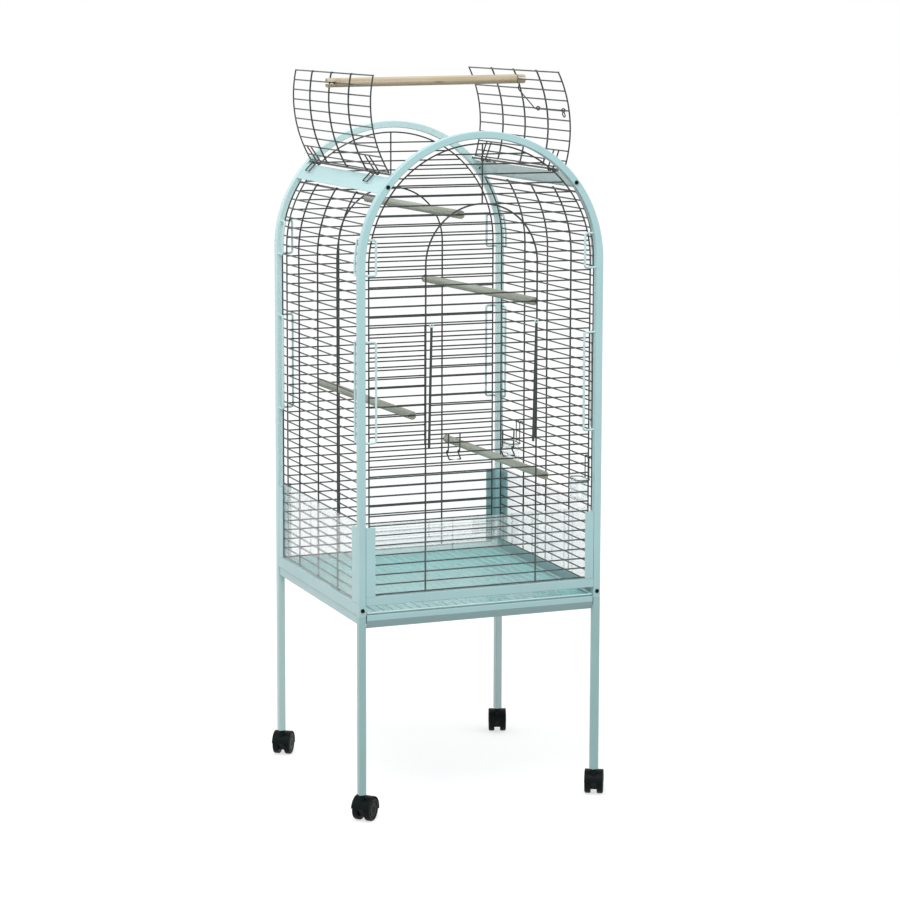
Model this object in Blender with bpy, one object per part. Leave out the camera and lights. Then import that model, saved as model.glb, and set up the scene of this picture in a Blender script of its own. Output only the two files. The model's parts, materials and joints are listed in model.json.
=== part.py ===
"""Parrot cage on casters: an arched frame of square tube filled with wire grilles.

Units are metres and +Z is up. The front faces -Y and the cage is centred on X.
Depths into the cage are measured inward from the outer face of the tube.
"""
import math

import bmesh
import bpy
from mathutils import Matrix, Vector

# Frame
WIDTH = 0.560
DEPTH = 0.560
TUBE = 0.016
TUBE_WALL = 0.0012
SHEET = 0.0012
CLEAR = 0.0003
LEG_BOTTOM = 0.060
LEG_TOP = 0.447
POST_LENGTH = 0.739
PLUG_LENGTH = 0.031
PLUG_WALL = 0.0012
LEG_FOOT = 0.004
ARCH_STEPS = 20

# Wire
PITCH = 0.02105
EDGE_WIRE = 0.0034
BAR_WIRE = 0.0032
UPRIGHT_WIRE = 0.0038
HOOK_WIRE = 0.0032
FOOT_LIFT = 0.0005

# Layers of each face, from the outside in
PLATE_SET_BACK = 0.0006
GUARD_THICKNESS = 0.0025
GUARD_TO_WIRE = 0.0006

# Rails
RAIL_DEPTH = 0.0148
RAIL_HEIGHT = 0.0195
FRONT_RAIL_RISE = 0.0230
REAR_RAIL_RISE = 0.0003
SIDE_RAIL_RISE = 0.0272
SIDE_RAIL_LIP = 0.0120
SIDE_RAIL_STEP_DROP = 0.0250
SIDE_RAIL_STEP = 0.0022
SIDE_RAIL_DROP = 0.0446
SIDE_RAIL_LEDGE = 0.0280

# Grilles
EDGE_INSET = 0.0265
INNER_ARCH_RADIUS = 0.1275
INNER_ARCH_STEPS = 14
SIDE_TOP_ANGLE = math.radians(33.0)
SIDE_ARC_STEPS = 6
SIDE_UPRIGHTS = 3

# Corner plates, guards and retainer loops
PLATE_FRONT_WING = 0.021
PLATE_SIDE_WING = 0.031
PLATE_TOP = 0.638
GUARD_TOP = 0.646
LOOP_WIRE = 0.005
LOOP_REACH = 0.041
LOOP_LOW_RISES = (-0.369, -0.156)
LOOP_HIGH_RISES = (-0.016, 0.058)

# Front door
DOOR_FIRST_ROW = 15
DOOR_LAST_ROW = 27
DOOR_GAP = 0.0075
DOOR_ROD = 0.0055
DOOR_ROD_TAIL = 0.007
DOOR_AJAR = math.radians(2.9)
DOOR_HOOKS = (-0.063, 0.0615)
DOOR_EYE = 0.0034
HOOK_SPREAD = 0.026
HOOK_TAIL = 0.0113

# Roof
STRIP_SET_BACK = 0.0025
STRIP_FROM = math.radians(33.8)
STRIP_TO = math.radians(42.2)
STRIP_TAB = 0.0016
STRIP_TAB_DEPTH = 0.0105
STRIP_NUT = 0.009
STRIP_NUT_HEIGHT = 0.004
ROOF_BOLT_ANGLE = math.radians(38.0)
HINGE_SET_BACK = 0.0040
HINGE_ANGLE = math.radians(44.0)
HINGE_ROD = 0.0044
FLAP_ROWS = 10
FLAP_PITCH = 0.0216
FLAP_FOOT = 0.0058
FLAP_FIRST = 0.0201
FLAP_INSET = 0.030
FLAP_CURVED = 3
FLAP_HOOKS = {"left": (-0.161, 0.215), "right": (-0.1875, 0.1875)}
FLAP_TAIL = 0.025
LEFT_OPENING = math.radians(76.6)
RIGHT_OPENING = math.radians(62.2)

# Perches
PERCH = 0.018
PLAY_PERCH = 0.020
PLAY_PERCH_ROW = 9
PLAY_PERCH_TIP = 0.0155
PLAY_PERCH_OFF_WIRE = 0.0120
KERF_ROOM = 0.0005
KERF_LENGTH = 0.0043
PLAY_KERF_LENGTH = 0.0180
PLAY_KERF = 0.0052
PERCH_ROWS = {"perch_top": 38, "perch_upper": 29, "perch_lower": 18, "perch_bottom": 11}
PERCH_ENDS = {
    "perch_top": (-0.047, -0.059),
    "perch_upper": (0.122, 0.083),
    "perch_lower": (-0.156, -0.171),
    "perch_bottom": (0.150, 0.138),
}

# Tray and grate
TRAY_SIDE_GAP = 0.018
TRAY_WALL = 0.0010
TRAY_HEIGHT = 0.0204
TRAY_RIM = 0.0025
TRAY_FRONT = 0.010
TRAY_REAR = 0.019
LIP_FRONT = 0.0012
LIP_TURN = 0.012
LIP_FALL = 0.0285
LIP_SLANT = 0.0065
GRATE_WIRE = 0.0030
GRATE_CROSS_WIRE = 0.0024
GRATE_SIDE_GAP = 0.0205
GRATE_BARS = 26
GRATE_FRONT = 0.0010
GRATE_REAR = 0.022
GRATE_CROSSES = (0.008, 0.140, 0.272, 0.404)

# Cups
CUP_SIZE = (0.028, 0.056, 0.050)
CUP_WALL = 0.0016
CUP_RIM = 0.0025
CUP_RIM_HEIGHT = 0.0020
CUP_RADIUS = 0.010
CUP_OFF_PANEL = 0.0062
CUP_HANG = 0.0440
RING_WIRE = 0.0024
CUP_HOOK_SPREAD = 0.020
CUP_ROWS = {"front_cup": 13, "rear_cup": 14}
CUP_DISTANCES = {"front_cup": 0.044, "rear_cup": 0.424}

# Bolts
BOLT = 0.0044
BOLT_HOLE = 0.0050
BOLT_HEAD = 0.0090
BOLT_HEAD_HEIGHT = 0.0024
BOLT_DOME = ((0.6, 0.9), (1.0, 0.4))
LEG_BOLT_RISE = 0.014
LEG_BOLT_LENGTH = 0.009

# Casters
WHEEL = 0.050
WHEEL_WIDTH = 0.0135
WHEEL_TRACK = 0.0275
WHEEL_ROUND = 0.003
CASTER_TRAIL = 0.016
CASTER_STEM = 0.008
STEM_SIDES = 12
STEM_IN_LEG = 0.026
STEM_IN_HOOD = 0.015
AXLE = 0.006
WEB_FOOT = 0.013
WEB_DROP = 0.0135
HOOD_GAP = 0.0012
HOOD_WALL = 0.0024
HOOD_FROM = math.radians(-10.0)
HOOD_TO = math.radians(170.0)
HOOD_BOSS = 0.013
HOOD_BOSS_LENGTH = 0.022
CASTER_TURNS = {
    ("left", "front"): math.radians(44.0),
    ("right", "front"): math.radians(62.0),
    ("left", "rear"): math.radians(56.0),
    ("right", "rear"): math.radians(69.0),
}

# Flap latch
LATCH_WIRE = 0.0026
LATCH_ROW = 6
LATCH_FRONT = 0.0378
LATCH_REAR = 0.198
LATCH_RING_Y = 0.262
LATCH_RING = 0.0055
LATCH_RING_RISE = 0.044
LATCH_HOOK = 0.009
LATCH_HOOK_BENDS = ((0.6, -0.2, -0.2), (0.6, -0.4, -1.0), (0.6, 0.5, -1.3), (0.6, 1.1, -0.6),
                    (0.0, 1.7, 0.0))
LATCH_COIL_FROM = 0.020

# Values that follow from the sizes above
HALF_WIDTH = WIDTH / 2
HALF_DEPTH = DEPTH / 2
SPRING_Z = LEG_TOP + POST_LENGTH
POST_CENTRE = HALF_WIDTH - TUBE / 2
TUBE_INNER = TUBE - 2 * TUBE_WALL
PLATE_OUT = PLATE_SET_BACK
PLATE_IN = PLATE_OUT + SHEET
GUARD_OUT = PLATE_IN + CLEAR
GUARD_IN = GUARD_OUT + GUARD_THICKNESS
UPRIGHT_LAYER = GUARD_IN + GUARD_TO_WIRE + UPRIGHT_WIRE / 2
LADDER_LAYER = UPRIGHT_LAYER + UPRIGHT_WIRE / 2 + CLEAR + EDGE_WIRE / 2
LADDER_IN = LADDER_LAYER + EDGE_WIRE / 2
LOOP_LAYER = LADDER_LAYER - EDGE_WIRE / 2 - CLEAR - LOOP_WIRE / 2
FRONT_RAIL_TOP = LEG_TOP + FRONT_RAIL_RISE + RAIL_HEIGHT
REAR_RAIL_TOP = LEG_TOP + REAR_RAIL_RISE + RAIL_HEIGHT
SIDE_RAIL_TOP = LEG_TOP + SIDE_RAIL_RISE
LEDGE_TOP = SIDE_RAIL_TOP - SIDE_RAIL_DROP
FRONT_ROW_Z = FRONT_RAIL_TOP + CLEAR + EDGE_WIRE / 2
REAR_ROW_Z = REAR_RAIL_TOP + CLEAR + EDGE_WIRE / 2
SIDE_ROW_Z = SIDE_RAIL_TOP + CLEAR + EDGE_WIRE / 2
OUTER_ARCH_RADIUS = HALF_WIDTH - EDGE_INSET
LOOP_LOW = [SPRING_Z + rise for rise in LOOP_LOW_RISES]
LOOP_HIGH = [SPRING_Z + rise for rise in LOOP_HIGH_RISES]
STRIP_RADIUS = HALF_WIDTH - STRIP_SET_BACK
HINGE_RADIUS = HALF_WIDTH - HINGE_SET_BACK
FLAP_LEVELS = [FLAP_FOOT] + [FLAP_FIRST + row * FLAP_PITCH for row in range(FLAP_ROWS)]
BOLT_RADIUS = HALF_WIDTH - TUBE / 2
TRAY_HALF = HALF_WIDTH - TRAY_SIDE_GAP
TRAY_TOP = LEDGE_TOP + CLEAR + TRAY_HEIGHT
GRATE_HALF = HALF_WIDTH - GRATE_SIDE_GAP
GRATE_Z = TRAY_TOP + 2 * CLEAR + GRATE_CROSS_WIRE + GRATE_WIRE / 2
WRAP = HINGE_ROD / 2 + CLEAR + HOOK_WIRE / 2
X_AXIS = Vector((1, 0, 0))
Y_AXIS = Vector((0, 1, 0))
Z_AXIS = Vector((0, 0, 1))


def clear_scene():
    """Removes every object that the file starts with."""
    for item in list(bpy.data.objects):
        bpy.data.objects.remove(item, do_unlink=True)


def make_material(name, colour, roughness, metallic=0.0, alpha=1.0):
    """Gives a Principled material of one colour."""
    material = bpy.data.materials.new(name)
    material.use_nodes = True
    shader = material.node_tree.nodes["Principled BSDF"]
    shader.inputs["Base Color"].default_value = (*colour, 1.0)
    shader.inputs["Roughness"].default_value = roughness
    shader.inputs["Metallic"].default_value = metallic
    shader.inputs["Alpha"].default_value = alpha
    material.diffuse_color = (*colour, alpha)
    return material


def add_box(shape, low, high):
    """Adds a box between two corners."""
    low, high = Vector(low), Vector(high)
    cube = bmesh.ops.create_cube(shape, size=1.0)
    for vert in cube["verts"]:
        vert.co = Vector([low[i] + (vert.co[i] + 0.5) * (high[i] - low[i]) for i in range(3)])


def add_prism(shape, outline, low, high, place):
    """Extrudes a closed outline of (a, b) points; place turns (a, b, c) into a point."""
    rings = [[shape.verts.new(place(a, b, c)) for a, b in outline] for c in (low, high)]
    shape.faces.new(rings[0][::-1])
    shape.faces.new(rings[1])
    for i, vert in enumerate(rings[0]):
        j = (i + 1) % len(outline)
        shape.faces.new((vert, rings[0][j], rings[1][j], rings[1][i]))


def thick_line(points, thickness):
    """Gives the closed outline of a bent strip, mitred at its corners."""
    points = [Vector(point) for point in points]
    turns = [(b - a).normalized() for a, b in zip(points, points[1:])]
    sides = ([], [])
    for i, point in enumerate(points):
        before = turns[max(i - 1, 0)]
        after = turns[min(i, len(turns) - 1)]
        across = Vector((-before.y - after.y, before.x + after.x))
        across *= thickness / 2 / (1 + before.dot(after))
        sides[0].append(point + across)
        sides[1].append(point - across)
    return [tuple(point) for point in sides[0] + sides[1][::-1]]


def add_wire(shape, points, size, across, sides=4, closed=False):
    """Carries a wire along points with a mitre at each bend, flat towards across."""
    points = [Vector(point) for point in points]
    count = len(points)
    last = count if closed else count - 1
    legs = [(points[(i + 1) % count] - points[i]).normalized() for i in range(last)]
    if closed:
        planes = [(legs[i - 1] + legs[i]).normalized() for i in range(count)]
    else:
        middle = [(a + b).normalized() for a, b in zip(legs, legs[1:])]
        planes = [legs[0]] + middle + [legs[-1]]
    first = (Vector(across) - legs[0] * legs[0].dot(Vector(across))).normalized()
    second = legs[0].cross(first)
    reach = size / 2 / math.cos(math.pi / sides) if sides == 4 else size / 2
    ring = []
    for i in range(sides):
        turn = 2 * math.pi * (i + 0.5) / sides
        corner = points[0] + reach * (math.cos(turn) * first + math.sin(turn) * second)
        slide = (points[0] - corner).dot(planes[0]) / legs[0].dot(planes[0])
        ring.append(corner + slide * legs[0])
    rings = [ring]
    for i in range(1, count):
        leg = legs[i - 1]
        slides = [(points[i] - co).dot(planes[i]) / leg.dot(planes[i]) for co in rings[-1]]
        rings.append([co + slide * leg for co, slide in zip(rings[-1], slides)])
    loops = [[shape.verts.new(co) for co in ring] for ring in rings]
    for i in range(last):
        here, there = loops[i], loops[(i + 1) % count]
        for j in range(sides):
            k = (j + 1) % sides
            shape.faces.new((here[j], here[k], there[k], there[j]))
    if not closed:
        shape.faces.new(loops[0][::-1])
        shape.faces.new(loops[-1])


def add_rod(shape, start, end, size, sides=8):
    """Adds a straight round rod between two points."""
    start, end = Vector(start), Vector(end)
    across = Z_AXIS if abs((end - start).normalized().z) < 0.9 else X_AXIS
    add_wire(shape, [start, end], size, across, sides)


def add_tube(shape, points, outer, inner, across):
    """Adds a square tube with open ends along points."""
    start = len(shape.faces)
    add_wire(shape, points, outer, across)
    add_wire(shape, points, inner, across)
    shape.faces.ensure_lookup_table()
    made = shape.faces[start:]
    sides = 4 * (len(points) - 1)
    ends = [made[sides], made[sides + 1], made[2 * sides + 2], made[2 * sides + 3]]
    pairs = [(ends[0], ends[2]), (ends[1], ends[3])]
    for outside, inside in pairs:
        outer_ring, inner_ring = list(outside.verts), list(inside.verts)
        shape.faces.remove(outside)
        shape.faces.remove(inside)
        for j in range(4):
            k = (j + 1) % 4
            shape.faces.new((outer_ring[j], outer_ring[k], inner_ring[k], inner_ring[j]))


def add_turned(shape, profile, place, steps=16):
    """Turns a closed profile of (radius, height) points; radius 0 closes on the axis."""
    rings = []
    for radius, height in profile:
        if radius == 0:
            rings.append([shape.verts.new(place(0, 0, height))])
            continue
        angles = [2 * math.pi * i / steps for i in range(steps)]
        rings.append([shape.verts.new(place(radius * math.cos(a), radius * math.sin(a), height))
                      for a in angles])
    pairs = list(zip(rings, rings[1:] + rings[:1]))
    for here, there in pairs:
        if len(here) == 1 and len(there) == 1:
            continue
        for i in range(steps):
            j = (i + 1) % steps
            corners = [here[i % len(here)], here[j % len(here)],
                       there[j % len(there)], there[i % len(there)]]
            shape.faces.new(list(dict.fromkeys(corners)))


def make_body(name, shape, material, origin=(0, 0, 0), parent=None, turn=(0, 0, 0), smooth=None):
    """Makes an object from a shape that is drawn about its own origin."""
    shape.normal_update()
    bmesh.ops.recalc_face_normals(shape, faces=shape.faces)
    mesh = bpy.data.meshes.new(name)
    shape.to_mesh(mesh)
    shape.free()
    mesh.materials.append(material)
    if smooth is not None:
        mesh.shade_smooth()
        mesh.set_sharp_from_angle(angle=smooth)
    body = bpy.data.objects.new(name, mesh)
    bpy.context.collection.objects.link(body)
    body.location = origin
    body.rotation_euler = turn
    body.parent = parent
    return body


def combine(body, name, shape, operation="UNION"):
    """Fuses a shape to a body, or cuts it out of the body, with a Boolean modifier."""
    tool = make_body(name, shape, body.data.materials[0], body.location, body.parent,
                     body.rotation_euler)
    tool.hide_render = True
    tool.display_type = "WIRE"
    modifier = body.modifiers.new(name, "BOOLEAN")
    modifier.operation = operation
    modifier.solver = "EXACT"
    modifier.object = tool
    return modifier


def end_place(end):
    """Maps (x, depth, z) to a point of the front (end -1) or the rear (end 1) face."""
    return lambda x, depth, z: Vector((x, end * (HALF_DEPTH - depth), z))


def profile_x(depth, z):
    """Distance from the centre of the side's outline at a height, some depth inside it."""
    reach = HALF_WIDTH - depth
    if z <= SPRING_Z:
        return reach
    return math.sqrt(max(reach ** 2 - (z - SPRING_Z) ** 2, 0))


def arch_points(radius, bottom, steps):
    """Gives (x, z) points up one post, round the arch and down the other post."""
    turns = [math.pi * (1 - i / steps) for i in range(steps + 1)]
    arc = [(radius * math.cos(a), SPRING_Z + radius * math.sin(a)) for a in turns]
    return [(-radius, bottom)] + arc + [(radius, bottom)]


def roof_point(radius, angle):
    """Gives (x, z) on the right half of the roof at a radius and an angle from level."""
    return radius * math.cos(angle), SPRING_Z + radius * math.sin(angle)


def make_arch(name, end, steel, cage):
    """Makes one arched tube with its retainer loops and bolt holes."""
    place = end_place(end)
    shape = bmesh.new()
    path = [place(x, TUBE / 2, z) for x, z in arch_points(POST_CENTRE, LEG_TOP, ARCH_STEPS)]
    add_tube(shape, path, TUBE, TUBE_INNER, Y_AXIS)
    arch = make_body(name, shape, steel, parent=cage)
    loops = bmesh.new()
    for side in (-1, 1):
        for low, high in (LOOP_LOW, LOOP_HIGH):
            add_end_loop(loops, place, side, low, high)
            add_side_loop(loops, end, side, low, high)
    combine(arch, name + "_loops", loops)
    holes = bmesh.new()
    x, z = roof_point(BOLT_RADIUS, ROOF_BOLT_ANGLE)
    for side in (-1, 1):
        add_rod(holes, place(side * x, -CLEAR, z), place(side * x, TUBE + CLEAR, z), BOLT_HOLE)
        foot = (side * POST_CENTRE, LEG_TOP + LEG_BOLT_RISE)
        add_rod(holes, place(foot[0], -CLEAR, foot[1]), place(foot[0], TUBE / 2, foot[1]),
                BOLT_HOLE)
    combine(arch, name + "_holes", holes, "DIFFERENCE")


def loop_heights(low, high):
    """Gives the heights where a retainer loop bends, with more of them along the arch."""
    if high <= SPRING_Z:
        return [low, high]
    return [low, SPRING_Z] + [SPRING_Z + (high - SPRING_Z) * i / 3 for i in (1, 2, 3)]


def add_end_loop(shape, place, side, low, high):
    """Adds a retainer loop in the plane of the front or rear face."""
    bar = HALF_WIDTH - LOOP_REACH
    roots = [profile_x(TUBE, z) + TUBE_WALL / 2 for z in (low, high)]
    points = [(roots[0], low), (bar, low), (bar, high), (roots[1], high)]
    add_wire(shape, [place(side * x, LOOP_LAYER, z) for x, z in points], LOOP_WIRE, Y_AXIS)


def add_side_loop(shape, end, side, low, high):
    """Adds a retainer loop that follows the outline of the side face."""
    root = HALF_DEPTH - TUBE + TUBE_WALL / 2
    bar = HALF_DEPTH - LOOP_REACH
    heights = loop_heights(low, high)
    points = [(root, low)] + [(bar, z) for z in heights] + [(root, high)]
    spots = [Vector((side * profile_x(LOOP_LAYER, z), end * y, z)) for y, z in points]
    add_wire(shape, spots, LOOP_WIRE, X_AXIS)


def make_leg(name, side, end, steel, cage):
    """Makes a leg tube with a stepped plug on top and a holed foot for the caster."""
    outer, inner = TUBE / 2, TUBE_INNER / 2
    plug = inner - CLEAR
    socket = CASTER_STEM / 2 + CLEAR
    shoulder = LEG_TOP - CLEAR
    profile = [
        (outer, LEG_BOTTOM), (outer, shoulder), (plug, shoulder),
        (plug, LEG_TOP + PLUG_LENGTH), (plug - PLUG_WALL, LEG_TOP + PLUG_LENGTH),
        (plug - PLUG_WALL, shoulder - LEG_FOOT), (inner, shoulder - LEG_FOOT),
        (inner, LEG_BOTTOM + LEG_FOOT), (socket, LEG_BOTTOM + LEG_FOOT), (socket, LEG_BOTTOM),
    ]
    centre = Vector((side * POST_CENTRE, end * (HALF_DEPTH - TUBE / 2), 0))
    root = math.sqrt(2)

    def place(x, y, z):
        turned = Matrix.Rotation(math.pi / 4, 2) @ Vector((x, y))
        return Vector((turned.x * root, turned.y * root, z))

    shape = bmesh.new()
    add_turned(shape, profile, place, steps=4)
    leg = make_body(name, shape, steel, centre, cage)
    hole = bmesh.new()
    z = LEG_TOP + LEG_BOLT_RISE
    add_rod(hole, (0, end * TUBE, z), (0, 0, z), BOLT_HOLE)
    combine(leg, name + "_hole", hole, "DIFFERENCE")


def make_end_rail(name, end, bottom, steel, cage):
    """Makes the boxed rail between the two posts of the front or rear face."""
    place = end_place(end)
    half = HALF_WIDTH - TUBE - CLEAR
    far = PLATE_SET_BACK + RAIL_DEPTH
    top = bottom + RAIL_HEIGHT
    shape = bmesh.new()
    rings = []
    for inset in (0, SHEET):
        corners = [(PLATE_SET_BACK + inset, bottom + inset), (far - inset, bottom + inset),
                   (far - inset, top - inset), (PLATE_SET_BACK + inset, top - inset)]
        rings.append([[shape.verts.new(place(x, d, z)) for d, z in corners]
                      for x in (-half, half)])
    outer, inner = rings
    for j in range(4):
        k = (j + 1) % 4
        shape.faces.new((outer[0][j], outer[0][k], outer[1][k], outer[1][j]))
        shape.faces.new((inner[0][j], inner[0][k], inner[1][k], inner[1][j]))
        for tip in (0, 1):
            shape.faces.new((outer[tip][j], outer[tip][k], inner[tip][k], inner[tip][j]))
    make_body(name, shape, steel, parent=cage)


def make_side_rail(name, side, steel, cage):
    """Makes the folded side rail, whose lower edge turns in as the ledge for the tray."""
    half = SHEET / 2
    face = PLATE_SET_BACK + half
    top = SIDE_RAIL_TOP - half
    step_z = SIDE_RAIL_TOP - SIDE_RAIL_STEP_DROP
    low = LEDGE_TOP - half
    line = [(SIDE_RAIL_LIP, top), (face, top), (face, step_z),
            (face + SIDE_RAIL_STEP, step_z - SIDE_RAIL_STEP), (face + SIDE_RAIL_STEP, low),
            (SIDE_RAIL_LEDGE, low)]
    reach = HALF_DEPTH - TUBE - CLEAR
    shape = bmesh.new()
    add_prism(shape, thick_line(line, SHEET), -reach, reach,
              lambda d, z, y: Vector((side * (HALF_WIDTH - d), y, z)))
    make_body(name, shape, steel, parent=cage)


def make_corner_plate(name, side, end, end_rail_top, steel, cage):
    """Makes the bent plate that wraps a post and holds the guards and grille edges."""
    half = SHEET / 2
    face_x, face_y = HALF_WIDTH - PLATE_OUT - half, HALF_DEPTH - PLATE_OUT - half
    inner_x = HALF_WIDTH - TUBE - CLEAR - half
    inner_y = HALF_DEPTH - TUBE - CLEAR - half
    line = [(HALF_WIDTH - TUBE - PLATE_FRONT_WING, face_y), (inner_x, face_y),
            (inner_x, inner_y), (face_x, inner_y),
            (face_x, HALF_DEPTH - TUBE - PLATE_SIDE_WING)]
    end_bottom, side_bottom = end_rail_top + CLEAR, SIDE_RAIL_TOP + CLEAR
    shape = bmesh.new()
    add_prism(shape, thick_line(line, SHEET), min(end_bottom, side_bottom), PLATE_TOP,
              lambda x, y, z: Vector((side * x, end * y, z)))
    plate = make_body(name, shape, steel, parent=cage)
    notch = bmesh.new()
    if end_bottom > side_bottom:
        low = (0, inner_y + half + CLEAR / 2, 0)
        high = (WIDTH, DEPTH, end_bottom)
    else:
        low = (0, 0, 0)
        high = (WIDTH, inner_y + half + CLEAR / 2, side_bottom)
    add_box(notch, (side * low[0], end * low[1], low[2]), (side * high[0], end * high[1], high[2]))
    combine(plate, name + "_notch", notch, "DIFFERENCE")


def make_end_guard(name, end, rail_top, clear, cage):
    """Makes the clear splash guard of the front or rear face."""
    half = HALF_WIDTH - TUBE - 2 * CLEAR - SHEET
    outer, inner = HALF_DEPTH - GUARD_OUT, HALF_DEPTH - GUARD_IN
    shape = bmesh.new()
    add_box(shape, (-half, end * inner, rail_top + CLEAR), (half, end * outer, GUARD_TOP))
    make_body(name, shape, clear, parent=cage)


def make_side_guard(name, side, clear, cage):
    """Makes the clear splash guard of a side face."""
    half = HALF_DEPTH - TUBE - 2 * CLEAR - SHEET
    outer, inner = HALF_WIDTH - GUARD_OUT, HALF_WIDTH - GUARD_IN
    shape = bmesh.new()
    add_box(shape, (side * inner, -half, SIDE_RAIL_TOP + CLEAR), (side * outer, half, GUARD_TOP))
    make_body(name, shape, clear, parent=cage)


def make_end_grille(name, end, first_z, door_rows, wire, cage):
    """Makes a front or rear grille: an arched edge, level bars and an inner arch in front."""
    place = end_place(end)
    radius = OUTER_ARCH_RADIUS
    shape = bmesh.new()
    edge = [place(x, LADDER_LAYER, z) for x, z in arch_points(radius, first_z, ARCH_STEPS)]
    add_wire(shape, edge, EDGE_WIRE, Y_AXIS, closed=True)
    grille = make_body(name, shape, wire, parent=cage)

    bars = bmesh.new()
    half = BAR_WIRE / 2
    rows = int((SPRING_Z + radius - first_z - EDGE_WIRE) / PITCH)
    for row in range(1, rows + 1):
        z = first_z + row * PITCH
        reach = profile_x(EDGE_INSET, z)
        spans = [(-reach, reach)]
        if door_rows and door_rows[0] < row < door_rows[1]:
            spans = [(-reach, -INNER_ARCH_RADIUS), (INNER_ARCH_RADIUS, reach)]
        for left, right in spans:
            add_box(bars, place(left, LADDER_LAYER + half, z - half),
                    place(right, LADDER_LAYER - half, z + half))
    combine(grille, name + "_bars", bars)

    uprights = bmesh.new()
    foot_z = first_z + FOOT_LIFT
    path = arch_points(INNER_ARCH_RADIUS, foot_z, INNER_ARCH_STEPS)
    path = [place(x, UPRIGHT_LAYER, z) for x, z in path]
    feet = [place(side * INNER_ARCH_RADIUS, LADDER_LAYER, foot_z) for side in (-1, 1)]
    add_wire(uprights, [feet[0]] + path + [feet[1]], UPRIGHT_WIRE, X_AXIS)
    if door_rows:
        half = EDGE_WIRE / 2
        low, high = (first_z + row * PITCH for row in door_rows)
        for side in (-1, 1):
            x = side * INNER_ARCH_RADIUS
            add_box(uprights, place(x - half, LADDER_LAYER + half, low),
                    place(x + half, LADDER_LAYER - half, high))
    combine(grille, name + "_inner_arch", uprights)

    crown = bmesh.new()
    low, high = SPRING_Z + INNER_ARCH_RADIUS, SPRING_Z + radius
    points = [place(0, UPRIGHT_LAYER, low), place(0, UPRIGHT_LAYER, high),
              place(0, LADDER_LAYER, high)]
    add_wire(crown, points, EDGE_WIRE, X_AXIS)
    combine(grille, name + "_crown", crown)


def side_path(depth, low, top_angle, steps):
    """Gives (x, z) points up the side and along the roof, some depth inside the outline."""
    radius = HALF_WIDTH - depth
    turns = [top_angle * i / steps for i in range(steps + 1)]
    return [(radius, low)] + [roof_point(radius, a) for a in turns]


def make_side_grille(name, side, wire, cage):
    """Makes a side grille that runs from the side rail up and over to the roof strip."""
    radius = HALF_WIDTH - LADDER_LAYER
    straight = SPRING_Z - SIDE_ROW_Z
    total = straight + radius * SIDE_TOP_ANGLE
    over = EDGE_WIRE / 2
    top_angle = SIDE_TOP_ANGLE + over / radius
    reach = HALF_DEPTH - EDGE_INSET
    shape = bmesh.new()
    path = side_path(LADDER_LAYER, SIDE_ROW_Z - over, top_angle, SIDE_ARC_STEPS)
    for y in (-reach, reach):
        add_wire(shape, [(side * x, y, z) for x, z in path], EDGE_WIRE, Y_AXIS)
    grille = make_body(name, shape, wire, parent=cage)

    bars = bmesh.new()
    rows = int((total - 2 * BAR_WIRE) / PITCH)
    for distance in [row * PITCH for row in range(rows + 1)] + [total]:
        if distance <= straight:
            x, z, lean = radius, SIDE_ROW_Z + distance, 0.0
        else:
            lean = (distance - straight) / radius
            x, z = roof_point(radius, lean)
        out = Vector((side * math.cos(lean), 0, math.sin(lean)))
        add_wire(bars, [(side * x, -reach, z), (side * x, reach, z)], BAR_WIRE, out)
    combine(grille, name + "_bars", bars)

    uprights = bmesh.new()
    low = SIDE_ROW_Z + FOOT_LIFT
    path = side_path(UPRIGHT_LAYER, low, SIDE_TOP_ANGLE, SIDE_ARC_STEPS)
    path = [(radius, low)] + path + [roof_point(radius, SIDE_TOP_ANGLE)]
    for i in range(SIDE_UPRIGHTS):
        y = reach * (2 * (i + 1) / (SIDE_UPRIGHTS + 1) - 1)
        add_wire(uprights, [(side * x, y, z) for x, z in path], UPRIGHT_WIRE, Y_AXIS)
    combine(grille, name + "_uprights", uprights)


def hook_wrap(first, last, steps=5):
    """Gives the bend of a hook round its hinge wire, from one angle to another."""
    step = (last - first) / steps
    radius = WRAP / math.cos(step / 2)
    turns = [first + step * i for i in range(steps + 1)]
    return [(radius * math.cos(a), radius * math.sin(a)) for a in turns]


def add_hook_pair(shape, line, centre, place):
    """Adds a hook of two prongs joined at the tail; line runs from the root to the tail."""
    left, right = centre - HOOK_SPREAD / 2, centre + HOOK_SPREAD / 2
    path = [place(a, b, left) for a, b in line] + [place(a, b, right) for a, b in line[::-1]]
    ends = place(0, 0, right) - place(0, 0, left)
    add_wire(shape, path, HOOK_WIRE, ends)


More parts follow.
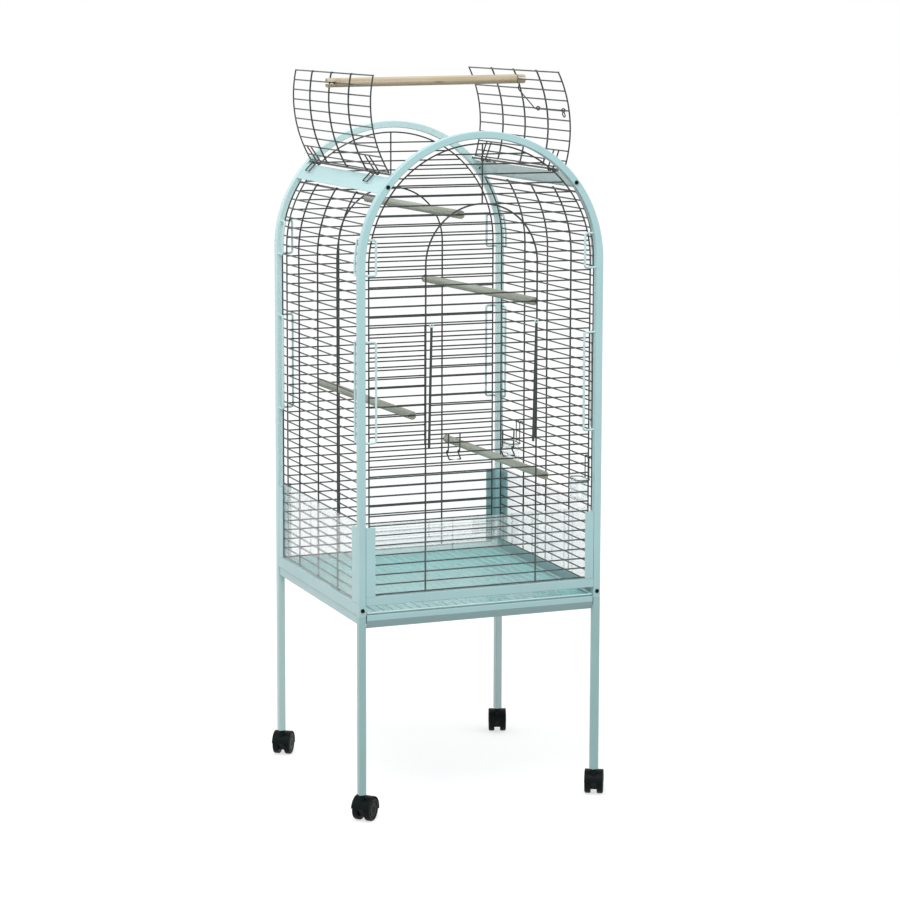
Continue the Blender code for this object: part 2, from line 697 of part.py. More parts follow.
def make_front_door(steel, cage):
    """Makes the drop-down front door; it hangs by hooks on the row under its opening."""
    hinge_row = DOOR_FIRST_ROW - 1
    hinge_z = FRONT_ROW_Z + hinge_row * PITCH
    hinge = Vector((0, -HALF_DEPTH + LADDER_LAYER, hinge_z))
    plane = -(EDGE_WIRE / 2 + CLEAR + DOOR_ROD / 2)
    bottom = PITCH - DOOR_ROD_TAIL
    top = (DOOR_LAST_ROW - hinge_row) * PITCH - BAR_WIRE / 2
    reach = INNER_ARCH_RADIUS - DOOR_GAP
    shape = bmesh.new()
    for x in (-reach, reach):
        add_rod(shape, (x, plane, bottom), (x, plane, top), DOOR_ROD)
    door = make_body("front_door", shape, steel, hinge, cage, (DOOR_AJAR, 0, 0))
    bars = bmesh.new()
    half = BAR_WIRE / 2
    for row in range(DOOR_FIRST_ROW + 1, DOOR_LAST_ROW):
        z = (row - hinge_row) * PITCH
        add_box(bars, (-reach, plane - half, z - half), (reach, plane + half, z + half))
    combine(door, "front_door_bars", bars)
    hooks = bmesh.new()
    line = [(plane, 2 * PITCH), (plane, PITCH / 2)]
    line += hook_wrap(math.radians(140), math.radians(-90))
    line += [(-HOOK_TAIL, -HOOK_TAIL - HOOK_WIRE / 2)]
    for centre in DOOR_HOOKS:
        add_hook_pair(hooks, line, centre, lambda a, b, c: Vector((c, a, b)))
    for x in (-reach, reach):
        ring = [(x + DOOR_EYE * math.sin(a), plane, top + DOOR_EYE - DOOR_EYE * math.cos(a))
                for a in (math.radians(45 * i) for i in range(8))]
        add_wire(hooks, ring, BAR_WIRE, Y_AXIS, closed=True)
    combine(door, "front_door_hooks", hooks)


def make_roof_strip(name, side, steel, cage):
    """Makes the sheet over the top edge of a side grille, with end tabs and a hinge rod."""
    reach = HALF_DEPTH - TUBE - CLEAR

    def place(x, z, y):
        return Vector((side * x, y, z))

    middle = STRIP_RADIUS - SHEET / 2
    turns = [STRIP_FROM + (STRIP_TO - STRIP_FROM) * i / 3 for i in range(4)]
    outline = thick_line([roof_point(middle, a) for a in turns], SHEET)
    shape = bmesh.new()
    add_prism(shape, outline, -reach, reach, place)
    strip = make_body(name, shape, steel, parent=cage)

    tabs = bmesh.new()
    deep = STRIP_RADIUS - STRIP_TAB_DEPTH
    sheet_top = STRIP_RADIUS - SHEET / 4
    rod_edge = HINGE_ROD / 2 + SHEET / 2
    rod_turn = rod_edge / HINGE_RADIUS
    corners = [(deep, STRIP_FROM + rod_turn / 2), (sheet_top, STRIP_FROM + rod_turn / 2),
               (sheet_top, STRIP_TO - rod_turn / 2),
               (HINGE_RADIUS + rod_edge, HINGE_ANGLE - rod_turn),
               (HINGE_RADIUS + rod_edge, HINGE_ANGLE + rod_turn),
               (deep, HINGE_ANGLE + rod_turn)]
    outline = [roof_point(radius, angle) for radius, angle in corners]
    for end in (-1, 1):
        add_prism(tabs, outline, end * (reach - STRIP_TAB), end * reach, place)
    combine(strip, name + "_tabs", tabs)

    nuts = bmesh.new()
    x, z = roof_point(BOLT_RADIUS, ROOF_BOLT_ANGLE)
    for end in (-1, 1):
        start = end * (reach - STRIP_TAB / 2)
        add_rod(nuts, (side * x, start, z), (side * x, start - end * STRIP_NUT_HEIGHT, z),
                STRIP_NUT, sides=6)
    x, z = roof_point(HINGE_RADIUS, HINGE_ANGLE)
    rod_reach = reach - STRIP_TAB / 2
    add_rod(nuts, (side * x, -rod_reach, z), (side * x, rod_reach, z), HINGE_ROD)
    combine(strip, name + "_rod", nuts)

    holes = bmesh.new()
    x, z = roof_point(BOLT_RADIUS, ROOF_BOLT_ANGLE)
    for end in (-1, 1):
        add_rod(holes, (side * x, end * HALF_DEPTH, z),
                (side * x, end * (reach - 2 * STRIP_NUT_HEIGHT), z), BOLT_HOLE)
    combine(strip, name + "_holes", holes, "DIFFERENCE")


def flap_offset(distance, lift=0.0):
    """Gives (x, z) on a closed right-hand flap, some distance up it, from its hinge."""
    x, z = roof_point(HINGE_RADIUS + lift, HINGE_ANGLE + distance / HINGE_RADIUS)
    hinge_x, hinge_z = roof_point(HINGE_RADIUS, HINGE_ANGLE)
    return Vector((x - hinge_x, z - hinge_z))


def opened(side, offset, opening):
    """Turns an offset from a flap's hinge by its opening and mirrors it to its side."""
    x = offset.x * math.cos(opening) + offset.y * math.sin(opening)
    z = offset.y * math.cos(opening) - offset.x * math.sin(opening)
    return Vector((side * x, 0, z))


def hinge_point(side):
    """Gives the point on a flap's hinge axis at the middle of the cage."""
    x, z = roof_point(HINGE_RADIUS, HINGE_ANGLE)
    return Vector((side * x, 0, z))


def make_flap(name, side, opening, wire, cage):
    """Makes a curved top flap, drawn closed about its hinge and turned to its opening."""
    reach = HALF_DEPTH - FLAP_INSET

    def place(x, z, y):
        return Vector((side * x, y, z))

    shape = bmesh.new()
    over = EDGE_WIRE / 2
    ends = [FLAP_LEVELS[0] - over, FLAP_LEVELS[-1] + over]
    curve = [flap_offset(level) for level in [ends[0]] + FLAP_LEVELS[1:-1] + [ends[1]]]
    for y in (-reach, reach):
        add_wire(shape, [place(p.x, p.y, y) for p in curve], EDGE_WIRE, Y_AXIS)
    turn = (0, side * opening, 0)
    flap = make_body(name, shape, wire, hinge_point(side), cage, turn)

    bars = bmesh.new()
    for level in FLAP_LEVELS:
        spot = flap_offset(level)
        angle = HINGE_ANGLE + level / HINGE_RADIUS
        out = Vector((side * math.cos(angle), 0, math.sin(angle)))
        add_wire(bars, [place(spot.x, spot.y, -reach), place(spot.x, spot.y, reach)],
                 BAR_WIRE, out)
    combine(flap, name + "_bars", bars)

    curved = bmesh.new()
    lift = EDGE_WIRE / 2 + CLEAR + UPRIGHT_WIRE / 2
    outer = [flap_offset(level, lift) for level in FLAP_LEVELS]
    path = [flap_offset(FLAP_LEVELS[0])] + outer + [flap_offset(FLAP_LEVELS[-1])]
    for i in range(FLAP_CURVED):
        y = reach * (2 * (i + 1) / (FLAP_CURVED + 1) - 1)
        add_wire(curved, [place(p.x, p.y, y) for p in path], UPRIGHT_WIRE, Y_AXIS)
    combine(flap, name + "_curved", curved)

    hooks = bmesh.new()
    line = flap_hook_line()
    for centre in FLAP_HOOKS["left" if side < 0 else "right"]:
        add_hook_pair(hooks, line, centre, lambda a, b, c: place(a, b, c))
    combine(flap, name + "_hooks", hooks)


def flap_hook_line():
    """Gives the hook of a closed flap: from its second row, round the rod and out."""
    stop = LEFT_OPENING
    out = Vector((math.cos(HINGE_ANGLE), math.sin(HINGE_ANGLE)))
    down = Vector((out.y, -out.x))
    wrap = [down * a + out * b for a, b in hook_wrap(math.pi, 2 * math.pi)]
    rise = [WRAP * (down + out), (WRAP + FLAP_TAIL) * down + WRAP * out]
    line = []
    for spot in wrap + rise:
        turned = opened(1, spot, -stop)
        line.append((turned.x, turned.z))
    second = flap_offset(FLAP_LEVELS[2])
    return [(second.x, second.y)] + line


def make_latch(wire, cage):
    """Makes the bent wire latch that turns on a row of the right flap."""
    rows = [opened(1, flap_offset(FLAP_LEVELS[row]), RIGHT_OPENING)
            for row in (LATCH_ROW, PLAY_PERCH_ROW)]
    along_flap = rows[1] - rows[0]
    lean = math.atan2(along_flap.x, along_flap.z)
    pivot = hinge_point(1) + rows[0]
    radius = (BAR_WIRE / 2 * math.sqrt(2) + CLEAR + LATCH_WIRE / 2) / math.cos(math.pi / 8)
    front, rear = -HALF_DEPTH + LATCH_FRONT, -HALF_DEPTH + LATCH_REAR
    ring_y = -HALF_DEPTH + LATCH_RING_Y
    turn_length = LATCH_WIRE + 2 * CLEAR
    turns = [2 * math.pi * i / 8 for i in range(9)]

    def coil(start):
        """Gives one turn round the flap's wire, from its inner side."""
        return [(-radius * math.cos(a), start + turn_length * a / turns[-1], -radius * math.sin(a))
                for a in turns]

    hook = [(-radius - inward * LATCH_HOOK, front + along * LATCH_HOOK, up * LATCH_HOOK)
            for inward, along, up in LATCH_HOOK_BENDS]
    shaft = coil(front + LATCH_COIL_FROM) + coil(rear - 2 * turn_length)
    ring = [(-radius, ring_y + LATCH_RING * math.sin(a), LATCH_RING_RISE - LATCH_RING * math.cos(a))
            for a in turns[:-1]]
    shape = bmesh.new()
    line = hook + shaft + [(-radius, rear + turn_length, 0)] + ring
    add_wire(shape, line, LATCH_WIRE, X_AXIS, sides=6)
    make_body("flap_latch", shape, wire, pivot, cage, (0, lean, 0))


def make_play_perch(wood, cage):
    """Makes the perch that lies between the open flaps, with a kerf over a wire at each end."""
    level = FLAP_LEVELS[PLAY_PERCH_ROW]
    spots = [hinge_point(side) + opened(side, flap_offset(level), opening)
             for side, opening in ((-1, LEFT_OPENING), (1, RIGHT_OPENING))]
    y = -PLAY_PERCH_OFF_WIRE
    start, end = spots[0] + y * Y_AXIS, spots[1] + y * Y_AXIS
    length = (end - start).length
    slope = -math.asin((end - start).z / length)
    shape = bmesh.new()
    add_rod(shape, (-PLAY_PERCH_TIP, 0, 0), (length + PLAY_PERCH_TIP, 0, 0), PLAY_PERCH, sides=16)
    perch = make_body("play_perch", shape, wood, start, cage, (0, slope, 0), smooth=0.6)
    kerfs = bmesh.new()
    half = PLAY_KERF / 2
    for tip, inner in ((-1, half), (1, length - half)):
        if tip < 0:
            low, high = -PLAY_KERF_LENGTH, inner
        else:
            low, high = inner, length + PLAY_KERF_LENGTH
        add_box(kerfs, (low, -PLAY_PERCH, -half), (high, PLAY_PERCH, half))
    combine(perch, "play_perch_kerfs", kerfs, "DIFFERENCE")


def make_perch(name, front_row, front_x, rear_x, wood, cage):
    """Makes an inner perch whose notched ends sit on a front and a rear bar."""
    front_z = FRONT_ROW_Z + front_row * PITCH
    rear_row = round((front_z - REAR_ROW_Z) / PITCH)
    rear_z = REAR_ROW_Z + rear_row * PITCH
    reach = HALF_DEPTH - (UPRIGHT_LAYER + UPRIGHT_WIRE / 2 + CLEAR)
    steps = 16
    shape = bmesh.new()
    rings = []
    for x, y, z in ((front_x, -reach, front_z), (rear_x, reach, rear_z)):
        turns = [2 * math.pi * (i + 0.5) / steps for i in range(steps)]
        rings.append([shape.verts.new((x + PERCH / 2 * math.cos(a), y, z + PERCH / 2 * math.sin(a)))
                      for a in turns])
    for i in range(steps):
        j = (i + 1) % steps
        shape.faces.new((rings[0][i], rings[0][j], rings[1][j], rings[1][i]))
    shape.faces.new(rings[0])
    shape.faces.new(rings[1])
    perch = make_body(name, shape, wood, parent=cage, smooth=0.6)
    kerfs = bmesh.new()
    half = BAR_WIRE / 2 + KERF_ROOM
    for x, end, z in ((front_x, -1, front_z), (rear_x, 1, rear_z)):
        add_box(kerfs, (x - PERCH, end * (reach - KERF_LENGTH), z - half),
                (x + PERCH, end * (reach + KERF_LENGTH), z + half))
    combine(perch, name + "_kerfs", kerfs, "DIFFERENCE")


def make_tray(steel, cage):
    """Makes the sliding tray: a folded pan with rolled-in rims and a slanted front lip."""
    half = TRAY_WALL / 2
    wall = TRAY_HALF - half
    top, low = TRAY_TOP - half, TRAY_TOP - TRAY_HEIGHT + half
    line = [(-wall + TRAY_RIM, top), (-wall, top), (-wall, low), (wall, low), (wall, top),
            (wall - TRAY_RIM, top)]
    front, rear = -HALF_DEPTH + TRAY_FRONT, HALF_DEPTH - TRAY_REAR
    shape = bmesh.new()
    add_prism(shape, thick_line(line, TRAY_WALL), front, rear,
              lambda x, z, y: Vector((x, y, z)))
    tray = make_body("tray", shape, steel, parent=cage)
    walls = bmesh.new()
    inset, lift = TRAY_WALL / 4, TRAY_WALL / 4
    for near, far in ((front - inset, front + TRAY_WALL), (rear - TRAY_WALL, rear + inset)):
        add_box(walls, (-TRAY_HALF + inset, near, low - half + lift),
                (TRAY_HALF - inset, far, TRAY_TOP - lift))
    combine(tray, "tray_walls", walls)
    lip = bmesh.new()
    out = -HALF_DEPTH + LIP_FRONT
    turn_z = TRAY_TOP - LIP_TURN
    line = [(front, TRAY_TOP - half), (out, TRAY_TOP - half), (out, turn_z),
            (out + LIP_SLANT, TRAY_TOP - LIP_FALL)]
    add_prism(lip, thick_line(line, TRAY_WALL), -TRAY_HALF, TRAY_HALF,
              lambda y, z, x: Vector((x, y, z)))
    combine(tray, "tray_lip", lip)


def make_grate(wire, cage):
    """Makes the floor grate: front-to-back wires on a few cross wires."""
    front, rear = -HALF_DEPTH + GRATE_FRONT, HALF_DEPTH - GRATE_REAR
    side = GRATE_HALF
    pitch = 2 * side / (GRATE_BARS - 1)
    half = GRATE_WIRE / 2
    shape = bmesh.new()
    for y in (front + half, rear - half):
        add_wire(shape, [(-side - half, y, GRATE_Z), (side + half, y, GRATE_Z)], GRATE_WIRE,
                 Z_AXIS)
    grate = make_body("floor_grate", shape, wire, parent=cage)
    bars = bmesh.new()
    thin = GRATE_CROSS_WIRE
    for i in range(GRATE_BARS):
        x = -side + i * pitch
        add_wire(bars, [(x, front + half, GRATE_Z), (x, rear - half, GRATE_Z)], thin, Z_AXIS)
    combine(grate, "floor_grate_bars", bars)
    crosses = bmesh.new()
    low = TRAY_TOP + CLEAR + thin / 2
    for distance in GRATE_CROSSES:
        y = -HALF_DEPTH + distance
        points = [(-side, y, GRATE_Z), (-side, y, low), (side, y, low), (side, y, GRATE_Z)]
        add_wire(crosses, points, thin, Y_AXIS)
    combine(grate, "floor_grate_crosses", crosses)


def rounded_rectangle(size_x, size_y, radius, steps=3):
    """Gives the outline of a rectangle with round corners about the origin."""
    outline = []
    for quarter, (sx, sy) in enumerate(((1, 1), (-1, 1), (-1, -1), (1, -1))):
        cx, cy = sx * (size_x / 2 - radius), sy * (size_y / 2 - radius)
        for i in range(steps + 1):
            turn = math.pi / 2 * (quarter + i / steps)
            outline.append((cx + radius * math.cos(turn), cy + radius * math.sin(turn)))
    return outline


def add_lofted(shape, outlines):
    """Joins outlines of equal length, each with a height, into a closed skin."""
    rings = [[shape.verts.new((a, b, z)) for a, b in outline] for outline, z in outlines]
    for here, there in zip(rings, rings[1:]):
        for i in range(len(here)):
            j = (i + 1) % len(here)
            shape.faces.new((here[i], here[j], there[j], there[i]))
    shape.faces.new(rings[0][::-1])
    shape.faces.new(rings[-1])


def make_cup(name, row, distance, clear, wire, cage):
    """Makes a clear cup and the wire holder that hangs it on a bar of the right grille."""
    size_x, size_y, height = CUP_SIZE
    bar_z = SIDE_ROW_Z + row * PITCH
    top = bar_z - CUP_HANG + CUP_RIM_HEIGHT
    centre = Vector((HALF_WIDTH - LADDER_IN - CUP_OFF_PANEL - size_x / 2,
                     -HALF_DEPTH + distance, top))

    def outline(grow):
        return rounded_rectangle(size_x + 2 * grow, size_y + 2 * grow, CUP_RADIUS + grow)

    shape = bmesh.new()
    add_lofted(shape, [
        (outline(-CUP_WALL), CUP_WALL - height), (outline(-CUP_WALL), 0),
        (outline(CUP_RIM), 0), (outline(CUP_RIM), -CUP_RIM_HEIGHT),
        (outline(0), -CUP_RIM_HEIGHT), (outline(0), -height),
    ])
    make_body(name, shape, clear, centre, cage)

    ring = bmesh.new()
    half = RING_WIRE / 2
    ring_z = -CUP_RIM_HEIGHT - CLEAR - half
    grow = CLEAR + half
    path = [(a, b, ring_z) for a, b in outline(grow)]
    add_wire(ring, path, RING_WIRE, Z_AXIS, closed=True)
    holder = make_body(name + "_holder", ring, wire, centre, cage)
    hooks = bmesh.new()
    root_x = size_x / 2 + grow
    to_panel = size_x / 2 + CUP_OFF_PANEL
    inner_x = to_panel - CLEAR - half
    over_z = bar_z - top + BAR_WIRE / 2 + CLEAR + half
    outer_x = to_panel + EDGE_WIRE + CLEAR + half
    for spread in (-1, 1):
        y = spread * CUP_HOOK_SPREAD / 2
        points = [(root_x, y, ring_z), (inner_x, y, ring_z),
                  (inner_x, y, over_z), (outer_x, y, over_z), (outer_x, y, over_z - 3 * RING_WIRE)]
        add_wire(hooks, points, RING_WIRE, Y_AXIS)
    combine(holder, name + "_holder_hooks", hooks)


def add_bolt(shape, head, direction, length):
    """Adds a dome-headed bolt: head is the point under the head, direction runs inward."""
    direction = Vector(direction)
    radius, height = BOLT_HEAD / 2, BOLT_HEAD_HEIGHT
    dome = [(radius * wide, -height * high) for wide, high in BOLT_DOME]
    profile = [(0, -height)] + dome + [(radius, 0), (BOLT / 2, 0), (BOLT / 2, length), (0, length)]
    turn = direction.to_track_quat("Z", "Y")
    add_turned(shape, profile, lambda x, y, z: turn @ Vector((x, y, z)) + Vector(head), steps=8)


def make_bolts(dark, cage):
    """Makes the four roof bolts and the four leg bolts."""
    x, z = roof_point(BOLT_RADIUS, ROOF_BOLT_ANGLE)
    roof_length = TUBE + 2 * CLEAR + STRIP_TAB + STRIP_NUT_HEIGHT
    for side, side_name in ((-1, "left"), (1, "right")):
        for end, end_name in ((-1, "front"), (1, "rear")):
            spots = (("roof_bolt", side * x, z, roof_length),
                     ("leg_bolt", side * POST_CENTRE, LEG_TOP + LEG_BOLT_RISE, LEG_BOLT_LENGTH))
            for kind, spot_x, spot_z, length in spots:
                shape = bmesh.new()
                add_bolt(shape, (0, 0, 0), (0, -end, 0), length)
                origin = (spot_x, end * (HALF_DEPTH + CLEAR), spot_z)
                make_body(f"{kind}_{end_name}_{side_name}", shape, dark, origin, cage, smooth=0.6)


def make_caster(name, side, end, swivel, dark, steel, cage):
    """Makes a twin-wheel caster: stem, swivelling hood, and the wheels on their axle."""
    foot = Vector((side * POST_CENTRE, end * (HALF_DEPTH - TUBE / 2), LEG_BOTTOM))
    radius = WHEEL / 2
    axle_z = radius - LEG_BOTTOM
    shape = bmesh.new()
    add_rod(shape, (0, 0, -STEM_IN_HOOD), (0, 0, STEM_IN_LEG), CASTER_STEM,
            STEM_SIDES)
    make_body(name + "_stem", shape, steel, foot, cage, smooth=0.6)

    def across(x, z, y):
        return Vector((x, y, z))

    web = bmesh.new()
    web_half = WHEEL_TRACK / 2 - WHEEL_WIDTH / 2 - CLEAR
    inner = radius + HOOD_GAP
    outer = inner + HOOD_WALL
    web_turns = [HOOD_FROM + (HOOD_TO - HOOD_FROM) * i / 8 for i in range(9)]
    middle = (inner + outer) / 2
    rim = [(CASTER_TRAIL + middle * math.cos(a), axle_z + middle * math.sin(a)) for a in web_turns]
    low = [(CASTER_TRAIL - WEB_FOOT, axle_z - WEB_DROP),
           (CASTER_TRAIL + WEB_FOOT, axle_z - WEB_DROP)]
    add_prism(web, rim + low, -web_half, web_half, across)
    turned = (0, 0, swivel)
    hood = make_body(name + "_hood", web, dark, foot, cage, turned)
    fender = bmesh.new()
    fender_half = WHEEL_TRACK / 2 + WHEEL_WIDTH / 2
    add_prism(fender, thick_line(rim, HOOD_WALL), -fender_half, fender_half, across)
    combine(hood, name + "_fender", fender)
    boss = bmesh.new()
    add_rod(boss, (0, 0, -CLEAR), (0, 0, -HOOD_BOSS_LENGTH), HOOD_BOSS)
    combine(hood, name + "_boss", boss)
    holes = bmesh.new()
    add_rod(holes, (0, 0, CLEAR), (0, 0, -STEM_IN_HOOD - CLEAR),
            CASTER_STEM + 2 * CLEAR, STEM_SIDES)
    add_rod(holes, (CASTER_TRAIL, -WHEEL, axle_z), (CASTER_TRAIL, WHEEL, axle_z),
            AXLE + 2 * CLEAR)
    combine(hood, name + "_holes", holes, "DIFFERENCE")

    wheels = bmesh.new()
    out = WHEEL_TRACK / 2 + WHEEL_WIDTH / 2
    near = WHEEL_TRACK / 2 - WHEEL_WIDTH / 2
    half = [(0, out), (radius - WHEEL_ROUND, out), (radius, out - WHEEL_ROUND), (radius, near),
            (AXLE / 2, near)]
    profile = half + [(r, -h) for r, h in half[::-1]]
    add_turned(wheels, profile, lambda x, z, y: Vector((x, y, z)))
    make_body(name + "_wheels", wheels, dark, (CASTER_TRAIL, 0, axle_z), hood, smooth=0.6)


def make_casters(dark, steel, cage):
    """Makes the four casters at their own swivel angles."""
    for (side_name, end_name), swivel in CASTER_TURNS.items():
        side = -1 if side_name == "left" else 1
        end = -1 if end_name == "front" else 1
        make_caster(f"caster_{end_name}_{side_name}", side, end, swivel, dark, steel, cage)


def centre_on_floor(cage):
    """Moves the cage so that the bottom centre of its box is at the origin."""
    bpy.context.view_layer.update()
    graph = bpy.context.evaluated_depsgraph_get()
    spots = []
    for item in bpy.data.objects:
        if item.type == "MESH" and not item.hide_render:
            mesh = item.evaluated_get(graph).to_mesh()
            spots += [item.matrix_world @ vert.co for vert in mesh.vertices]
    low = [min(spot[i] for spot in spots) for i in range(3)]
    high = [max(spot[i] for spot in spots) for i in range(3)]
    cage.location = (-(low[0] + high[0]) / 2, -(low[1] + high[1]) / 2, -low[2])


def main():
    """Builds the cage and centres it over the origin."""
    clear_scene()
    cage = bpy.data.objects.new("cage_frame", None)
    bpy.context.collection.objects.link(cage)
    steel = make_material("aqua_powder_coat", (0.53, 0.77, 0.78), 0.4)
    wire = make_material("black_wire", (0.03, 0.045, 0.045), 0.45)
    pale = make_material("pale_wire", (0.62, 0.82, 0.82), 0.4)
    wood = make_material("perch_wood", (0.62, 0.60, 0.48), 0.7)
    clear = make_material("clear_plastic", (0.85, 0.93, 0.93), 0.1, alpha=0.3)
    dark = make_material("black_plastic", (0.02, 0.02, 0.022), 0.5)
    zinc = make_material("zinc_steel", (0.6, 0.6, 0.6), 0.35, metallic=1.0)
    sides = ((-1, "left"), (1, "right"))
    ends = ((-1, "front"), (1, "rear"))
    rail_tops = {-1: FRONT_RAIL_TOP, 1: REAR_RAIL_TOP}
    row_heights = {-1: FRONT_ROW_Z, 1: REAR_ROW_Z}
    for end, end_name in ends:
        make_arch(f"{end_name}_arch", end, steel, cage)
        make_end_rail(f"{end_name}_rail", end, rail_tops[end] - RAIL_HEIGHT, steel, cage)
        make_end_guard(f"{end_name}_guard", end, rail_tops[end], clear, cage)
        door_rows = (DOOR_FIRST_ROW, DOOR_LAST_ROW) if end < 0 else None
        make_end_grille(f"{end_name}_grille", end, row_heights[end], door_rows, wire, cage)
        for side, side_name in sides:
            make_leg(f"leg_{end_name}_{side_name}", side, end, steel, cage)
            make_corner_plate(f"corner_plate_{end_name}_{side_name}", side, end, rail_tops[end],
                              steel, cage)
    for side, side_name in sides:
        make_side_rail(f"{side_name}_rail", side, steel, cage)
        make_side_guard(f"{side_name}_guard", side, clear, cage)
        make_side_grille(f"{side_name}_grille", side, wire, cage)
        make_roof_strip(f"{side_name}_roof_strip", side, steel, cage)
    make_front_door(wire, cage)
    make_flap("left_flap", -1, LEFT_OPENING, wire, cage)
    make_flap("right_flap", 1, RIGHT_OPENING, wire, cage)
    make_latch(wire, cage)
    make_play_perch(wood, cage)
    for name, row in PERCH_ROWS.items():
        make_perch(name, row, *PERCH_ENDS[name], wood, cage)
    make_tray(steel, cage)
    make_grate(pale, cage)
    for name, row in CUP_ROWS.items():
        make_cup(name, row, CUP_DISTANCES[name], clear, wire, cage)
    make_bolts(dark, cage)
    make_casters(dark, zinc, cage)
    centre_on_floor(cage)


main()
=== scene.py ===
"""Looks of a parrot cage on casters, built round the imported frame.

The cage is an arched frame of square tube filled with wire grilles. It has a drop-down front
door, two curved roof flaps with a play perch across them, clear splash guards, a grate over a
sliding tray, hanging cups and twin-wheel casters. Units are metres, +Z is up and the front
faces -Y. Depths into the cage are measured from the outer face of the tube.
"""
from __future__ import annotations

import json
import logging
import math
from dataclasses import dataclass, field
from enum import Enum
from typing import Callable, Sequence

import bmesh
import bpy
import numpy as np
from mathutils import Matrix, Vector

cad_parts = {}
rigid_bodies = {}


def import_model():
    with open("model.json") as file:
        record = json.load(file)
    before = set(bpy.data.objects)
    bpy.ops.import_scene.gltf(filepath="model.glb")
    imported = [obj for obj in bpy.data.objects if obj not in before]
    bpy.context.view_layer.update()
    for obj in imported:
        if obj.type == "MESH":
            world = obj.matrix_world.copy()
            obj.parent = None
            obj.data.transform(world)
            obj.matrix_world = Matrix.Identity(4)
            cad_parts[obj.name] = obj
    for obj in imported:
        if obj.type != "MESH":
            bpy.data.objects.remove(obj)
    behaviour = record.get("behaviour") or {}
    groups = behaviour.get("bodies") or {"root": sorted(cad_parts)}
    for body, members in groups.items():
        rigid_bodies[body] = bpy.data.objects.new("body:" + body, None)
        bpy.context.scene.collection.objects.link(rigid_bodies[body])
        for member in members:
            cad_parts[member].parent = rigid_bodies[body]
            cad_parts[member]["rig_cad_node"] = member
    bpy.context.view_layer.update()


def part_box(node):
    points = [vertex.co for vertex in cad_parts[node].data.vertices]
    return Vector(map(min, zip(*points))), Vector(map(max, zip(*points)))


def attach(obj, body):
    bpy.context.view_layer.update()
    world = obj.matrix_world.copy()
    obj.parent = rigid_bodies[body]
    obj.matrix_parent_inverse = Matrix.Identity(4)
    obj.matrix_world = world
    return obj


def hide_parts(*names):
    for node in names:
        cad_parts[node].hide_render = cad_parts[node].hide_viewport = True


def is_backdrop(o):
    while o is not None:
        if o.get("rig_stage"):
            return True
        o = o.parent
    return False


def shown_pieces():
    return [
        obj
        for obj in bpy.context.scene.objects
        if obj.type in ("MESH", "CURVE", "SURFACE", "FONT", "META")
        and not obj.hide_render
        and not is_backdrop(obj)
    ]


LOG = logging.getLogger("parrot_cage")
Array = np.ndarray
Socket = bpy.types.NodeSocket
Material = bpy.types.Material
X_AXIS, Y_AXIS, Z_AXIS = np.eye(3)
MM = 0.001
FRAME_BODY = "frame"
BLACK = (0.0, 0.0, 0.0)

# Wires and rods: points round them, a tip's chamfer as a share of the size, and its end's radius
# as a share of the radius.
ROUND = 12
CHAMFER = 0.15
TIP = 0.7


class Way(Enum):
    """A choice of direction, with its sign."""

    @property
    def word(self) -> str:
        """The direction as it stands in the names of pieces."""
        return self.name.lower()


class Side(Way):
    """A side of the cage, with its sign along X."""

    LEFT = -1
    RIGHT = 1


class End(Way):
    """The front or the rear of the cage, with its sign along Y."""

    FRONT = -1
    REAR = 1


class Slot(Enum):
    """The record's material slots."""

    COAT = "aqua_powder_coat"
    WIRE = "black_wire"
    PALE_WIRE = "pale_wire"
    WOOD = "perch_wood"
    CLEAR = "clear_plastic"
    DARK = "black_plastic"


# Arrays


def unit(vectors: Array) -> Array:
    """Scales the vectors on an array's last axis to length one."""
    return vectors / np.linalg.norm(vectors, axis=-1, keepdims=True)


def stacked(x: object, y: object, z: object) -> Array:
    """Gives points from numbers or arrays of x, y and z."""
    return np.stack(np.broadcast_arrays(x, y, z), -1).astype(float)


def at_height(flat: Array, height: float) -> Array:
    """Puts an outline (x, y) at a height."""
    return np.column_stack([flat, np.full(len(flat), height)])


def bend_path(points: Sequence, radius: float, steps: int = 5, closed: bool = False) -> Array:
    """Rounds the corners of a path.

    At a corner of interior angle 2h the arc starts radius / tan(h) from it, and its points are
    centre + (sin((1 - t) w) S + sin(t w) E) / sin(w), where S and E run from the arc's centre to
    its ends and w = pi - 2h.

    Args:
        points: The corners, of two or three numbers each.
        radius: The bend's radius, smaller where a leg is too short.
        steps: The number of arc segments at each corner.
        closed: Whether the last point joins the first.

    Returns:
        The points of the rounded path.
    """
    corners = np.asarray(points, float)
    before = np.roll(corners, 1, 0) - corners
    after = np.roll(corners, -1, 0) - corners
    share = np.linspace(0, 1, steps + 1)[:, None]
    rounded = []
    for index, corner in enumerate(corners):
        back, on = unit(before[index]), unit(after[index])
        half = math.acos(float(np.clip(back @ on, -1, 1))) / 2
        loose = not closed and index in (0, len(corners) - 1)
        if loose or half > math.pi / 2 - 0.01:
            rounded.append(corner[None])
            continue
        room = 0.48 * min(np.linalg.norm(before[index]), np.linalg.norm(after[index]))
        reach = min(radius / math.tan(half), room)
        centre = corner + unit(back + on) * (reach / math.cos(half))
        start, end = corner + reach * back - centre, corner + reach * on - centre
        swing = math.pi - 2 * half
        arc = np.sin((1 - share) * swing) * start + np.sin(share * swing) * end
        rounded.append(centre + arc / math.sin(swing))
    return np.concatenate(rounded)


def tangents(path: Array, closed: bool) -> Array:
    """Gives the direction of a path at its points, as the bisector of the legs that meet there.

    Args:
        path: The points, one row each.
        closed: Whether the last point joins the first.

    Returns:
        One unit vector for each point.
    """
    legs = np.roll(path, -1, 0) - path
    if not closed:
        legs[-1] = legs[-2]
    legs = unit(legs)
    back = np.roll(legs, 1, 0)
    if not closed:
        back[0] = legs[0]
    return unit(legs + back)


